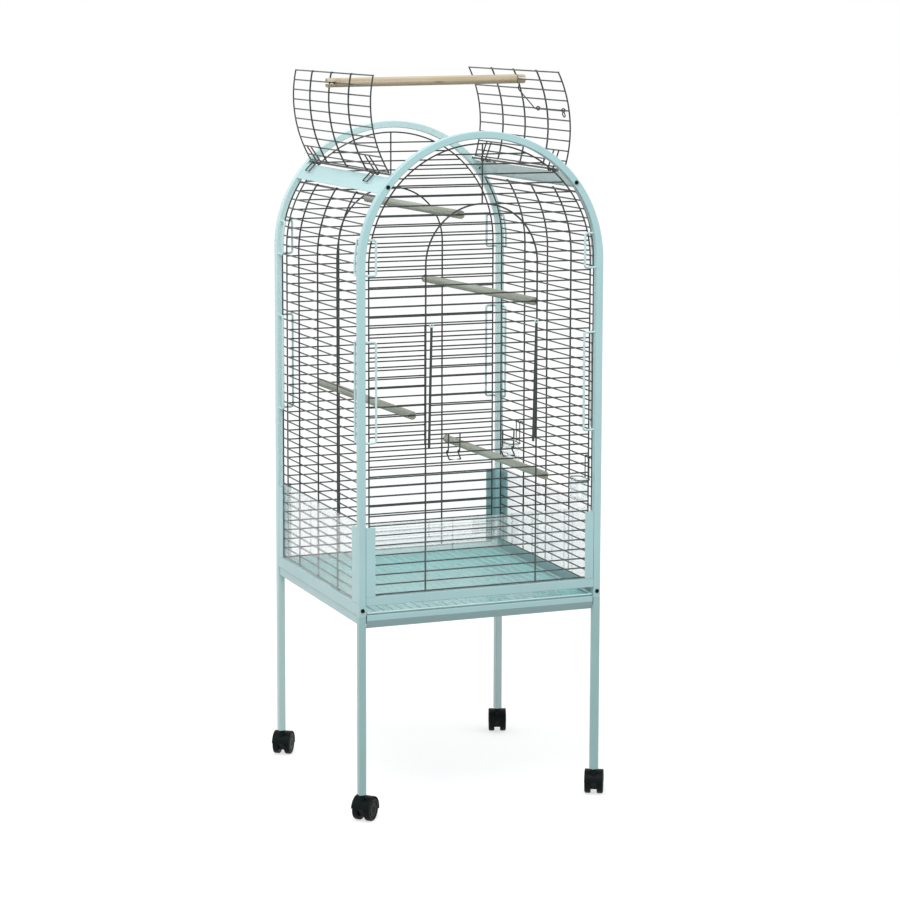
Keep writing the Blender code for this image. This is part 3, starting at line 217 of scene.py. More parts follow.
def arc(radius: float, turns: Array) -> Array:
    """Gives the points r (cos a, sin a) at the angles of an array."""
    return radius * np.stack([np.cos(turns), np.sin(turns)], -1)


def circle(radius: float, sides: int) -> Array:
    """Gives the section r (cos a, sin a) of a round wire, as even points."""
    return arc(radius, 2 * math.pi * np.arange(sides) / sides)


def rounded_box(size_a: float, size_b: float, radius: float, steps: int = 4) -> Array:
    """Gives a rectangle with round corners about the origin, counter-clockwise."""
    a, b = size_a / 2, size_b / 2
    return bend_path([(-a, -b), (a, -b), (a, b), (-a, b)], radius, steps, closed=True)


def bent_strip(line: Sequence, thickness: float, bend: float, steps: int = 4) -> Array:
    """Gives the closed outline of bent sheet: the rounded centre line p, at p +- n thickness / 2.

    Args:
        line: The corners of the centre line.
        thickness: The sheet's thickness.
        bend: The bend's radius on the centre line.
        steps: Arc segments at each bend.

    Returns:
        The outline's points.
    """
    centre = bend_path(line, bend, steps)
    direction = tangents(centre, closed=False)
    across = np.stack([-direction[:, 1], direction[:, 0]], -1) * thickness / 2
    return np.concatenate([centre + across, (centre - across)[::-1]])


def extrude(outline: Array, low: float, high: float, place: Callable) -> Array:
    """Gives an outline (a, b) carried from c = low to c = high, as two rings.

    Args:
        outline: The closed outline.
        low: Where it starts.
        high: Where it ends.
        place: Turns arrays a, b and c into points.

    Returns:
        The rings.
    """
    return place(outline[None, :, 0], outline[None, :, 1], np.array([low, high])[:, None])


def sweep(path: Array, section: Array, across: Array, closed: bool = False) -> Array:
    """Carries a section along a path.

    Ring i, point j is p_i + a_j u_i + b_j v_i, where u is across made square to the direction t
    of the path and v = t x u.

    Args:
        path: The path's points.
        section: The section's points (a, b).
        across: The direction that a runs towards.
        closed: Whether the path is a ring.

    Returns:
        An array of rings, points and coordinates.
    """
    direction = tangents(path, closed)
    first = unit(across - (direction @ across)[:, None] * direction)
    second = np.cross(direction, first)
    return path[:, None] + section[:, :1] * first[:, None] + section[:, 1:] * second[:, None]


def wire(path: Sequence, size: float, across: Array, bend: float = 3 * MM,
         closed: bool = False) -> Array:
    """Gives a round wire along a path, with rounded bends and a small chamfer at its ends.

    Args:
        path: The corners of the wire's centre line.
        size: The wire's diameter.
        across: A direction that the wire never runs along.
        bend: The radius of its bends.
        closed: Whether the wire is a ring.

    Returns:
        The wire's rings.
    """
    line = bend_path(path, bend, closed=closed)
    if closed:
        return sweep(line, circle(size / 2, ROUND), across, closed)
    chamfer = CHAMFER * size
    first, last = unit(line[1] - line[0]), unit(line[-1] - line[-2])
    line = np.concatenate([line[:1], line[:1] + chamfer * first, line[1:-1],
                           line[-1:] - chamfer * last, line[-1:]])
    rings = sweep(line, circle(size / 2, ROUND), across)
    rings[[0, -1]] += (1 - TIP) * (line[[0, -1], None] - rings[[0, -1]])
    return rings


def rods(starts: Array, ends: Array, size: float, sides: int = ROUND) -> Array:
    """Gives many straight rods at once.

    Rod k has rings at the distances 0, c, L - c and L from its start, of radius 0.7 r, r, r and
    0.7 r, with c = 0.3 r. Point j of a ring is start + s d + q (cos a_j u + sin a_j v).

    Args:
        starts: One starting point for each rod.
        ends: One end point for each rod.
        size: Their diameter.
        sides: Points round each rod.

    Returns:
        An array of rods, rings, points and coordinates.
    """
    starts, ends = np.atleast_2d(starts).astype(float), np.atleast_2d(ends).astype(float)
    length = np.linalg.norm(ends - starts, axis=-1)
    along = unit(ends - starts)
    helper = np.where(np.abs(along[:, 2:]) < 0.9, Z_AXIS, X_AXIS)
    first = unit(np.cross(helper, along))
    second = np.cross(along, first)
    chamfer = CHAMFER * size
    distance = np.stack([0 * length, chamfer + 0 * length, length - chamfer, length], -1)
    spread = np.array([TIP, 1, 1, TIP]) * size / 2
    ring = circle(1, sides)
    around = ring[:, :1] * first[:, None] + ring[:, 1:] * second[:, None]
    centre = starts[:, None] + distance[..., None] * along[:, None]
    return centre[:, :, None] + spread[None, :, None, None] * around[:, None]


def revolve(profile: Sequence, steps: int) -> Array:
    """Turns a profile (r, h) round Z: point j of ring i is (r_i cos a_j, r_i sin a_j, h_i)."""
    return np.stack([at_height(circle(radius, steps), height) for radius, height in profile])


def turned(points: Array, axis: int, angle: float) -> Array:
    """Turns points about a row axis through the origin, by the right-hand rule.

    Args:
        points: Any array of points.
        axis: 0, 1 or 2 for X, Y or Z.
        angle: The turn, in radians.

    Returns:
        The turned points, p R^T.
    """
    i, j = (axis + 1) % 3, (axis + 2) % 3
    matrix = np.eye(3)
    matrix[i, i] = matrix[j, j] = math.cos(angle)
    matrix[j, i] = math.sin(angle)
    matrix[i, j] = -math.sin(angle)
    return points @ matrix.T


def swung(flat: Array, angle: float) -> Array:
    """Turns rows of x and z: x' = x cos a + z sin a, z' = z cos a - x sin a."""
    x, z, cos, sin = flat[..., 0], flat[..., 1], math.cos(angle), math.sin(angle)
    return np.stack([x * cos + z * sin, z * cos - x * sin], -1)


class Surface:
    """The vertices and faces of one piece, gathered as whole arrays."""

    def __init__(self) -> None:
        """Starts with no faces."""
        self.points: list[Array] = []
        self.faces: list[list] = []
        self.marks: list[int] = []
        self.count = 0

    def add(self, rings: Array, closed: bool = False, mark: int = 0, end_mark: int | None = None,
            ) -> Surface:
        """Adds shells of rings: quads between neighbouring rings and a cap at each end.

        Args:
            rings: Shells, rings, points and coordinates; the first axis may be left out.
            closed: Whether the last ring joins the first, so that there are no caps.
            mark: The finish of the skin.
            end_mark: The finish of the caps, the skin's if none is given.

        Returns:
            This surface.
        """
        rings = rings if rings.ndim == 4 else rings[None]
        index = np.arange(rings[..., 0].size).reshape(rings.shape[:3]) + self.count
        here = index if closed else index[:, :-1]
        there = np.roll(index, -1, 1) if closed else index[:, 1:]
        skin = np.stack([here, np.roll(here, -1, 2), np.roll(there, -1, 2), there], -1)
        skin = skin.reshape(-1, 4).tolist()
        caps = [] if closed else index[:, 0, ::-1].tolist() + index[:, -1].tolist()
        self.faces += skin + caps
        self.marks += [mark] * len(skin) + [mark if end_mark is None else end_mark] * len(caps)
        self.points.append(rings.reshape(-1, 3))
        self.count += rings[..., 0].size
        return self

    def build(self, name: str, finishes: Sequence[Finish], node: str = "",
              body: str = FRAME_BODY, sharp: float = 34.0, weighted: bool = False) -> None:
        """Makes the piece, with its faces outwards, and lets it ride on its body.

        Args:
            name: The piece's name.
            finishes: One finish for each mark.
            node: The CAD node that the piece stands for, if any.
            body: The CAD body that carries the piece.
            sharp: The angle in degrees above which an edge stays sharp.
            weighted: Whether large flat faces keep their own normals.
        """
        mesh = bpy.data.meshes.new(name)
        mesh.from_pydata(np.concatenate(self.points), [], self.faces)
        mesh.polygons.foreach_set("material_index", self.marks)
        shape = bmesh.new()
        shape.from_mesh(mesh)
        bmesh.ops.recalc_face_normals(shape, faces=shape.faces)
        shape.to_mesh(mesh)
        shape.free()
        mesh.shade_smooth()
        mesh.set_sharp_from_angle(angle=math.radians(sharp))
        for finish in finishes:
            mesh.materials.append(finish.material())
        piece = bpy.data.objects.new(name, mesh)
        bpy.context.scene.collection.objects.link(piece)
        if weighted:
            piece.modifiers.new("even_shading", "WEIGHTED_NORMAL").keep_sharp = True
        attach(piece, body)
        if node:
            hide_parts(node)
        LOG.info("%s: %d faces on %s", name, len(self.faces), body)


# Finishes


class NodeMaterial:
    """A material under construction, with short calls for its nodes."""

    def __init__(self, name: str) -> None:
        """Starts a material with a Principled shader.

        Args:
            name: The material's name.
        """
        self.made = bpy.data.materials.new(name)
        self.made.use_nodes = True
        self.tree = self.made.node_tree
        self.shader = self.tree.nodes["Principled BSDF"]
        self.place = self.tree.nodes.new("ShaderNodeTexCoord").outputs["Object"]

    def node(self, kind: str, settings: dict | None = None, **links: Socket) -> bpy.types.Node:
        """Adds a node.

        Args:
            kind: The node's type, without its common prefix.
            settings: Attribute names or socket names, with their values.
            **links: Socket names and the outputs that feed them.

        Returns:
            The node.
        """
        made = self.tree.nodes.new("ShaderNode" + kind)
        for key, value in (settings or {}).items():
            if hasattr(made, key):
                setattr(made, key, value)
            else:
                made.inputs[key].default_value = value
        for key, output in links.items():
            self.tree.links.new(output, made.inputs[key])
        return made

    def noise(self, scale: float, detail: float = 2.0, place: Socket | None = None,
              distortion: float = 0.0) -> Socket:
        """Adds a noise from 0 to 1, of a scale in lumps per metre."""
        settings = {"Scale": scale, "Detail": detail, "Distortion": distortion}
        return self.node("TexNoise", settings, Vector=place or self.place).outputs["Fac"]

    def mapped(self, place: Socket, **settings: tuple) -> Socket:
        """Scales and moves coordinates."""
        return self.node("Mapping", settings, Vector=place).outputs["Vector"]

    def upward(self, vector: Socket) -> Socket:
        """Gives the Z part of a vector."""
        return self.node("SeparateXYZ", Vector=vector).outputs["Z"]

    def ramp(self, factor: Socket, *stops: tuple) -> Socket:
        """Adds a grey ramp.

        Args:
            factor: The output that drives it.
            *stops: Positions and grey values.

        Returns:
            The ramp's colour.
        """
        made = self.node("ValToRGB", Fac=factor)
        elements = made.color_ramp.elements
        while len(elements) < len(stops):
            elements.new(1.0)
        for element, (position, value) in zip(elements, stops):
            element.position = position
            element.color = (value, value, value, 1)
        return made.outputs["Color"]

    def patches(self, scale: float, detail: float, *stops: tuple) -> Socket:
        """Gives a ramp over a noise."""
        return self.ramp(self.noise(scale, detail), *stops)

    def mix(self, factor: Socket, first: object, second: object) -> Socket:
        """Mixes two colours, each an output or a plain colour.

        Args:
            factor: The output that gives the share of the second.
            first: The first colour.
            second: The second colour.

        Returns:
            The mixed colour.
        """
        made = self.node("Mix", {"data_type": "RGBA"})
        self.tree.links.new(factor, made.inputs[0])
        for socket, colour in ((made.inputs[6], first), (made.inputs[7], second)):
            if isinstance(colour, tuple):
                socket.default_value = (*colour, 1)
            else:
                self.tree.links.new(colour, socket)
        return made.outputs[2]

    def bump(self, height: Socket, depth: float, **below: Socket) -> Socket:
        """Adds a bump of a depth in metres, on top of an earlier one given as Normal."""
        settings = {"Distance": depth, "Strength": 1.0}
        return self.node("Bump", settings, Height=height, **below).outputs["Normal"]

    def finish(self, colour: Socket, roughness: Socket, normal: Socket,
               **constants: float) -> Material:
        """Joins the nodes to the shader.

        Args:
            colour: The base colour's output.
            roughness: The roughness's output.
            normal: The normal's output.
            **constants: Other sockets of the shader, set directly.

        Returns:
            The finished material.
        """
        inputs = self.shader.inputs
        for key, output in (("Base Color", colour), ("Roughness", roughness), ("Normal", normal)):
            self.tree.links.new(output, inputs[key])
        for key, value in constants.items():
            inputs[key.replace("_", " ")].default_value = value
        return self.made


def shade(colour: tuple, factor: float) -> tuple:
    """Gives a colour times a factor."""
    return tuple(min(channel * factor, 1.0) for channel in colour)


@dataclass(frozen=True)
class Finish:
    """A finish that makes its material once and then reuses it.

    A finish that dresses new pieces also has their slot.
    """

    name: str

    def material(self) -> Material:
        """Gives the finish's material."""
        return bpy.data.materials.get(self.name) or self.make(NodeMaterial(self.name))

    def make(self, nodes: NodeMaterial) -> Material:
        """Joins the material's nodes; each finish has its own way."""
        raise NotImplementedError


@dataclass(frozen=True)
class PowderCoat(Finish):
    """Baked powder paint: fine orange peel, slight cloudiness and edges a little lighter."""

    colour: tuple
    slot: Slot = Slot.COAT
    roughness: float = 0.36
    peel: float = 900.0
    peel_depth: float = 0.00004
    sheen: float = 0.35
    # Painted shade: under darkens faces that look down, low darkens the coat towards the bottom.
    under: float = 0.36
    low: float = 0.26

    def make(self, nodes: NodeMaterial) -> Material:
        """Makes the coat, with painted shade: darker low down and on faces that look down.

        Args:
            nodes: The material, still bare.

        Returns:
            The finished material.
        """
        colour, low, rough = self.colour, self.low, self.roughness
        cloud = nodes.patches(7.0, 3.0, (0.35, 0.0), (0.7, 1.0))
        tone = nodes.mix(cloud, shade(colour, 0.96), shade(colour, 1.03))
        fleck = nodes.patches(2600.0, 1.0, (0.66, 0.0), (0.74, 1.0))
        tone = nodes.mix(fleck, tone, shade(colour, 0.88))
        # Edges are made a little lighter from the mesh's pointiness.
        edge = nodes.node("NewGeometry").outputs["Pointiness"]
        tone = nodes.mix(nodes.ramp(edge, (0.53, 0.0), (0.6, 0.5)), tone, shade(colour, 1.12))
        # Painted shade: the tone darkens towards the bottom and on faces that look down.
        depth = nodes.ramp(nodes.upward(nodes.place), (0.0, low), (0.42, 0.77 * low),
                           (0.55, 0.4 * low), (1.0, 0.0))
        tone = nodes.mix(depth, tone, BLACK)
        facing = nodes.upward(nodes.node("NewGeometry").outputs["Normal"])
        under = nodes.node("MapRange", {"From Min": -0.05, "From Max": -0.4, "To Max": self.under},
                           Value=facing).outputs["Result"]
        tone = nodes.mix(under, tone, BLACK)
        gloss = nodes.patches(30.0, 4.0, (0.3, rough - 0.05), (0.75, rough + 0.07))
        normal = nodes.bump(nodes.noise(self.peel), self.peel_depth)
        normal = nodes.bump(nodes.noise(160.0, 1.0), self.peel_depth, Normal=normal)
        return nodes.finish(tone, gloss, normal, Coat_Weight=self.sheen, Coat_Roughness=0.12)


@dataclass(frozen=True)
class WirePaint(Finish):
    """Thin baked paint on drawn wire, with faint runs and a little dust."""

    colour: tuple
    roughness: float = 0.34
    slot: Slot = Slot.WIRE

    def make(self, nodes: NodeMaterial) -> Material:
        """Makes the paint: streaks of lighter tone, a fine grain and small beads.

        Args:
            nodes: The material, still bare.

        Returns:
            The finished material.
        """
        colour, rough = self.colour, self.roughness
        tone = nodes.mix(nodes.patches(45.0, 4.0, (0.4, 0.0), (0.8, 1.0)), colour,
                         shade(colour, 1.7))
        dust = nodes.patches(1500.0, 2.0, (0.68, 0.0), (0.78, 0.5))
        tone = nodes.mix(dust, tone, shade(colour, 3.0))
        gloss = nodes.patches(90.0, 3.0, (0.3, rough - 0.06), (0.7, rough + 0.1))
        normal = nodes.bump(nodes.noise(1100.0), 0.00003)
        normal = nodes.bump(nodes.noise(220.0, 1.0), 0.00005, Normal=normal)
        return nodes.finish(tone, gloss, normal, Coat_Weight=0.2, Coat_Roughness=0.2)


@dataclass(frozen=True)
class PerchWood(Finish):
    """Plain sanded wood whose grain runs along the perch."""

    start: tuple
    end: tuple
    pale: tuple
    dark: tuple
    stretch: tuple = (0.9, 28.0, 28.0)
    slot: Slot = Slot.WOOD

    def make(self, nodes: NodeMaterial) -> Material:
        """Makes the wood in coordinates that run along the perch.

        They are turned so that X follows the perch, then stretched along it. Growth bands come
        from rings about a pith beside the perch, fibres from long thin noise.

        Args:
            nodes: The material, still bare.

        Returns:
            The finished material.
        """
        run = np.subtract(self.end, self.start)
        yaw = math.atan2(run[1], run[0])
        pitch = -math.atan2(run[2], math.hypot(run[0], run[1]))
        local = nodes.mapped(nodes.place, vector_type="TEXTURE", Location=self.start,
                             Rotation=(0.0, pitch, yaw))
        bands = nodes.mapped(local, Scale=self.stretch, Location=(0.0, 0.37, 0.22))
        fibres = nodes.mapped(local, Scale=(14.0, 900.0, 900.0))
        streaks = nodes.mapped(local, Scale=(5.0, 170.0, 170.0))
        ring = nodes.node("TexWave", {"wave_type": "RINGS", "rings_direction": "X", "Scale": 1.3,
                                      "Distortion": 3.2, "Detail": 3.0, "Detail Scale": 1.4},
                          Vector=bands).outputs["Fac"]
        streak = nodes.noise(1.0, 4.0, streaks, 0.6)
        fibre = nodes.noise(1.0, 3.0, fibres)
        middle = tuple((a + b) / 2 for a, b in zip(self.pale, self.dark))
        tone = nodes.mix(nodes.ramp(ring, (0.2, 0.0), (0.8, 0.6)), self.pale, middle)
        tone = nodes.mix(nodes.ramp(streak, (0.45, 0.0), (0.75, 0.8)), tone, self.dark)
        tone = nodes.mix(nodes.ramp(fibre, (0.55, 0.0), (0.8, 0.35)), tone, shade(self.dark, 0.7))
        knot = nodes.node("TexVoronoi", {"Scale": 1.0},
                          Vector=nodes.mapped(local, Scale=(9.0, 38.0, 38.0))).outputs["Distance"]
        tone = nodes.mix(nodes.ramp(knot, (0.04, 0.75), (0.16, 0.0)), tone, shade(self.dark, 0.5))
        gloss = nodes.ramp(fibre, (0.3, 0.58), (0.7, 0.76))
        normal = nodes.bump(streak, 0.00015, Normal=nodes.bump(fibre, 0.00012))
        return nodes.finish(tone, gloss, normal)


@dataclass(frozen=True)
class DarkPlastic(Finish):
    """Moulded black plastic with a fine grain; worn adds the scuffs of a tread."""

    colour: tuple = (0.004, 0.0075, 0.0075)
    worn: float = 0.0
    shine: float = 0.09
    slot: Slot = Slot.DARK

    def make(self, nodes: NodeMaterial) -> Material:
        """Makes the plastic: fine grain, cloudy gloss and scuffs.

        Args:
            nodes: The material, still bare.

        Returns:
            The finished material.
        """
        scuff = nodes.ramp(nodes.noise(420.0, 5.0, distortion=1.2),
                           (0.55, 0.0), (0.75, 0.12 + self.worn))
        tone = nodes.mix(scuff, self.colour, shade(self.colour, 3.5))
        gloss = nodes.patches(240.0, 3.0, (0.3, 0.34), (0.7, 0.52))
        normal = nodes.bump(nodes.noise(3200.0), 0.00003)
        return nodes.finish(tone, gloss, normal, Specular_IOR_Level=self.shine)


@dataclass(frozen=True)
class ClearPlastic(Finish):
    """Clear sheet or moulding with a faint tint and a few wiping marks."""

    tint: tuple = (0.90, 0.975, 0.975)
    slot: Slot = Slot.CLEAR

    def make(self, nodes: NodeMaterial) -> Material:
        """Makes the plastic: it lets light through, with slightly uneven gloss.

        Args:
            nodes: The material, still bare.

        Returns:
            The finished material.
        """
        tone = nodes.mix(nodes.noise(12.0), self.tint, shade(self.tint, 0.985))
        wiped = nodes.mapped(nodes.place, Scale=(30.0, 30.0, 260.0))
        gloss = nodes.ramp(nodes.noise(1.0, 3.0, wiped), (0.4, 0.0), (0.8, 0.04))
        normal = nodes.bump(nodes.noise(9.0, 1.0), 0.00005)
        return nodes.finish(tone, gloss, normal, Transmission_Weight=0.9, IOR=1.12, Alpha=0.36)


@dataclass(frozen=True)
class ZincPlate(Finish):
    """Bright zinc plating with a fine crystal grain."""

    colour: tuple = (0.62, 0.63, 0.64)

    def make(self, nodes: NodeMaterial) -> Material:
        """Makes the plating: metal with cells of slightly unlike tone.

        Args:
            nodes: The material, still bare.

        Returns:
            The finished material.
        """
        cells = nodes.node("TexVoronoi", {"Scale": 900.0}, Vector=nodes.place).outputs["Distance"]
        tone = nodes.mix(cells, self.colour, shade(self.colour, 0.8))
        gloss = nodes.patches(300.0, 3.0, (0.3, 0.22), (0.7, 0.4))
        return nodes.finish(tone, gloss, nodes.bump(cells, 0.00002), Metallic=1.0)


AQUA = PowderCoat("aqua_coat", (0.50, 0.78, 0.80))
# Painted shade: a darker copy of the aqua coat for the front legs.
SHADED_LEG_AQUA = PowderCoat("aqua_leg_coat", (0.42, 0.69, 0.69))
# Painted light: a lighter copy of the aqua coat for the rear parts and the right roof strip.
REAR_LIT_AQUA = PowderCoat("aqua_rear_coat", (0.68, 0.94, 0.94), under=0.0)
# Painted light: a lighter copy of the aqua coat for the inside of the tray.
PAN_LIT_AQUA = PowderCoat("aqua_pan_coat", (0.55, 0.92, 0.92), low=0.0)
PALE_AQUA = PowderCoat("pale_aqua_wire", (0.66, 0.89, 0.89), Slot.PALE_WIRE, 0.32, low=0.0)
BLACK_WIRE = WirePaint("black_wire_paint", (0.014, 0.024, 0.024))
BLACK_PLASTIC = DarkPlastic("caster_plastic")
TREAD_PLASTIC = DarkPlastic("tread_plastic", (0.005, 0.008, 0.008), worn=0.3)
BOLT_BLACK = DarkPlastic("bolt_black", (0.006, 0.010, 0.010))
CLEAR = ClearPlastic("clear_plastic_sheet")
ZINC = ZincPlate("zinc_plate")


# The cage's own sizes


@dataclass(frozen=True)
class Cage:
    """Sizes that several sub-assemblies share, and where the cage stands."""

    centre_x: float
    centre_y: float
    half: float = 0.280
    tube: float = 0.016
    tube_corner: float = 0.0022
    sheet: float = 0.0012
    clear: float = 0.0003
    leg_bottom: float = 0.060
    leg_top: float = 0.447
    spring_z: float = 1.186
    pitch: float = 0.02105
    edge_wire: float = 0.0034
    bar_wire: float = 0.0032
    upright_wire: float = 0.0038
    upright_bend: float = 0.0015
    foot_lift: float = 0.0005
    upright_layer: float = 0.0071
    ladder_layer: float = 0.0110
    loop_layer: float = 0.0065
    edge_inset: float = 0.0265
    inner_arch: float = 0.1275
    plate_out: float = 0.0006
    guard_out: float = 0.0021
    guard_in: float = 0.0046
    guard_top: float = 0.646
    plate_top: float = 0.638
    rail_height: float = 0.0195
    side_rail_top: float = 0.4742
    ledge_top: float = 0.4296
    hinge_radius: float = 0.276
    hinge_angle: float = math.radians(44.0)
    hook_wire: float = 0.0032
    hook_spread: float = 0.026
    hook_bend: float = 0.0012
    hook_steps: int = 13
    hook_skew: float = 0.02
    rail_tops: dict = field(default_factory=lambda: {End.FRONT: 0.4895, End.REAR: 0.4668})
    openings: dict = field(default_factory=lambda: {Side.LEFT: math.radians(76.6),
                                                    Side.RIGHT: math.radians(62.2)})

    @property
    def post(self) -> float:
        """Distance of a post's centre from the cage's middle."""
        return self.half - self.tube / 2

    @property
    def between(self) -> float:
        """Half the length of a sheet that fits between two posts."""
        return self.half - self.tube - self.clear

    @property
    def side_row_z(self) -> float:
        """Height of the side grilles' lowest bar."""
        return self.side_rail_top + self.clear + self.edge_wire / 2

    def row_z(self, end: End, row: float = 0) -> float:
        """Height of a bar of the front or rear grille."""
        return self.rail_tops[end] + self.clear + self.edge_wire / 2 + row * self.pitch

    def at(self, x: object, y: object, z: object) -> Array:
        """Gives points from x, y and z, measured from the cage's middle and the floor."""
        return stacked(x, y, z) + (self.centre_x, self.centre_y, 0)

    def on_end(self, end: End, x: object, depth: object, z: object) -> Array:
        """Gives points on the front or rear face from x, depth and height."""
        return self.at(x, end.value * (self.half - np.asarray(depth)), z)

    def on_side(self, side: Side, y: object, depth: object, z: object) -> Array:
        """Gives points on a side face from y, depth and height."""
        return self.at(side.value * (self.half - np.asarray(depth)), y, z)

    def outline_x(self, depth: float, z: object) -> Array:
        """Half width of the cage at a height: r, or sqrt(r^2 - (z - spring)^2) in the arch."""
        over = np.maximum(np.asarray(z, float) - self.spring_z, 0)
        return np.sqrt(np.maximum((self.half - depth) ** 2 - over ** 2, 0))

    def arch(self, radius: float, bottom: float, steps: int) -> tuple[Array, Array]:
        """Gives x and z up one post, round the half circle and down the other post."""
        curve = arc(radius, math.pi * (1 - np.arange(steps + 1) / steps)) + (0, self.spring_z)
        return tuple(np.concatenate([[(-radius, bottom)], curve, [(radius, bottom)]]).T)

    def roof(self, radius: object, angle: object) -> Array:
        """Gives rows of x and z on the right half of the roof."""
        return np.stack([radius * np.cos(angle), self.spring_z + radius * np.sin(angle)], -1)


# Sub-assemblies


def coat(way: Way) -> PowderCoat:
    """Gives the coat of a part: rear parts and the right roof strip take a painted light copy."""
    return AQUA if way.value < 0 else REAR_LIT_AQUA


@dataclass
class ArchFrame:
    """An arched square tube with its welded retainer loops."""

    cage: Cage
    end: End
    steps: int = 72
    loop_wire: float = 0.005
    loop_bend: float = 0.005
    loop_reach: float = 0.041
    root: float = 0.0006
    heights: tuple = ((0.817, 1.030), (1.170, 1.244))

    def loops(self, side: Side, low: float, high: float) -> list[Array]:
        """Gives a loop in the end face, and one that follows the outline of the side face.

        Args:
            side: The side that the loops stand at.
            low: The height of their lower root.
            high: The height of their upper root.

        Returns:
            The rings of both.
        """
        cage = self.cage
        bar = cage.half - self.loop_reach
        roots = cage.outline_x(cage.tube, [low, high]) + self.root
        x = side.value * np.array([roots[0], bar, bar, roots[1]])
        flat = cage.on_end(self.end, x, cage.loop_layer, [low, low, high, high])
        z = np.linspace(low, high, 12 if high > cage.spring_z else 2)
        z = np.concatenate([[low], z, [high]])
        y = np.full(len(z), bar)
        y[[0, -1]] = cage.half - cage.tube + self.root
        x = side.value * cage.outline_x(cage.loop_layer, z)
        curved = cage.at(x, self.end.value * y, z)
        return [wire(path, self.loop_wire, across, self.loop_bend)
                for path, across in ((flat, Y_AXIS), (curved, X_AXIS))]

    def build(self) -> None:
        """Builds the arch in place of its node: a rounded square carried up, over and down."""
        cage = self.cage
        name = f"{self.end.word}_arch"
        x, z = cage.arch(cage.post, cage.leg_top, self.steps)
        tube = sweep(cage.on_end(self.end, x, cage.tube / 2, z),
                     rounded_box(cage.tube, cage.tube, cage.tube_corner), Y_AXIS)
        Surface().add(tube).build(name + "_tube", [coat(self.end)], name, weighted=True)
        surface = Surface()
        for side in Side:
            for low, high in self.heights:
                for loop in self.loops(side, low, high):
                    surface.add(loop)
        surface.build(name + "_loops", [PALE_AQUA])


@dataclass
class Legs:
    """The four legs: square tube with eased ends and a plug on top."""

    cage: Cage
    ease: float = 0.0006
    eased: float = 0.95
    plug: float = 0.0133
    plug_length: float = 0.031
    plug_sunk: float = 0.001

    def build(self) -> None:
        """Builds the four legs in place of their nodes."""
        cage = self.cage
        top, low = cage.leg_top - cage.clear, cage.leg_bottom
        columns = ((cage.tube, ((low, self.eased), (low + self.ease, 1), (top - self.ease, 1),
                                (top, self.eased))),
                   (self.plug, ((top - self.plug_sunk, 1), (cage.leg_top + self.plug_length, 1))))
        for end in End:
            for side in Side:
                centre = cage.at(side.value * cage.post, end.value * cage.post, 0)
                surface = Surface()
                for size, levels in columns:
                    outline = rounded_box(size, size, cage.tube_corner)
                    surface.add(np.stack([centre + at_height(share * outline, height)
                                          for height, share in levels]))
                name = f"leg_{end.word}_{side.word}"
                # Painted light and shade: the front legs take a darker copy of the coat, the rear
                # legs a lighter one.
                surface.build(name + "_tube", [SHADED_LEG_AQUA if end is End.FRONT else REAR_LIT_AQUA], name,
                              weighted=True)


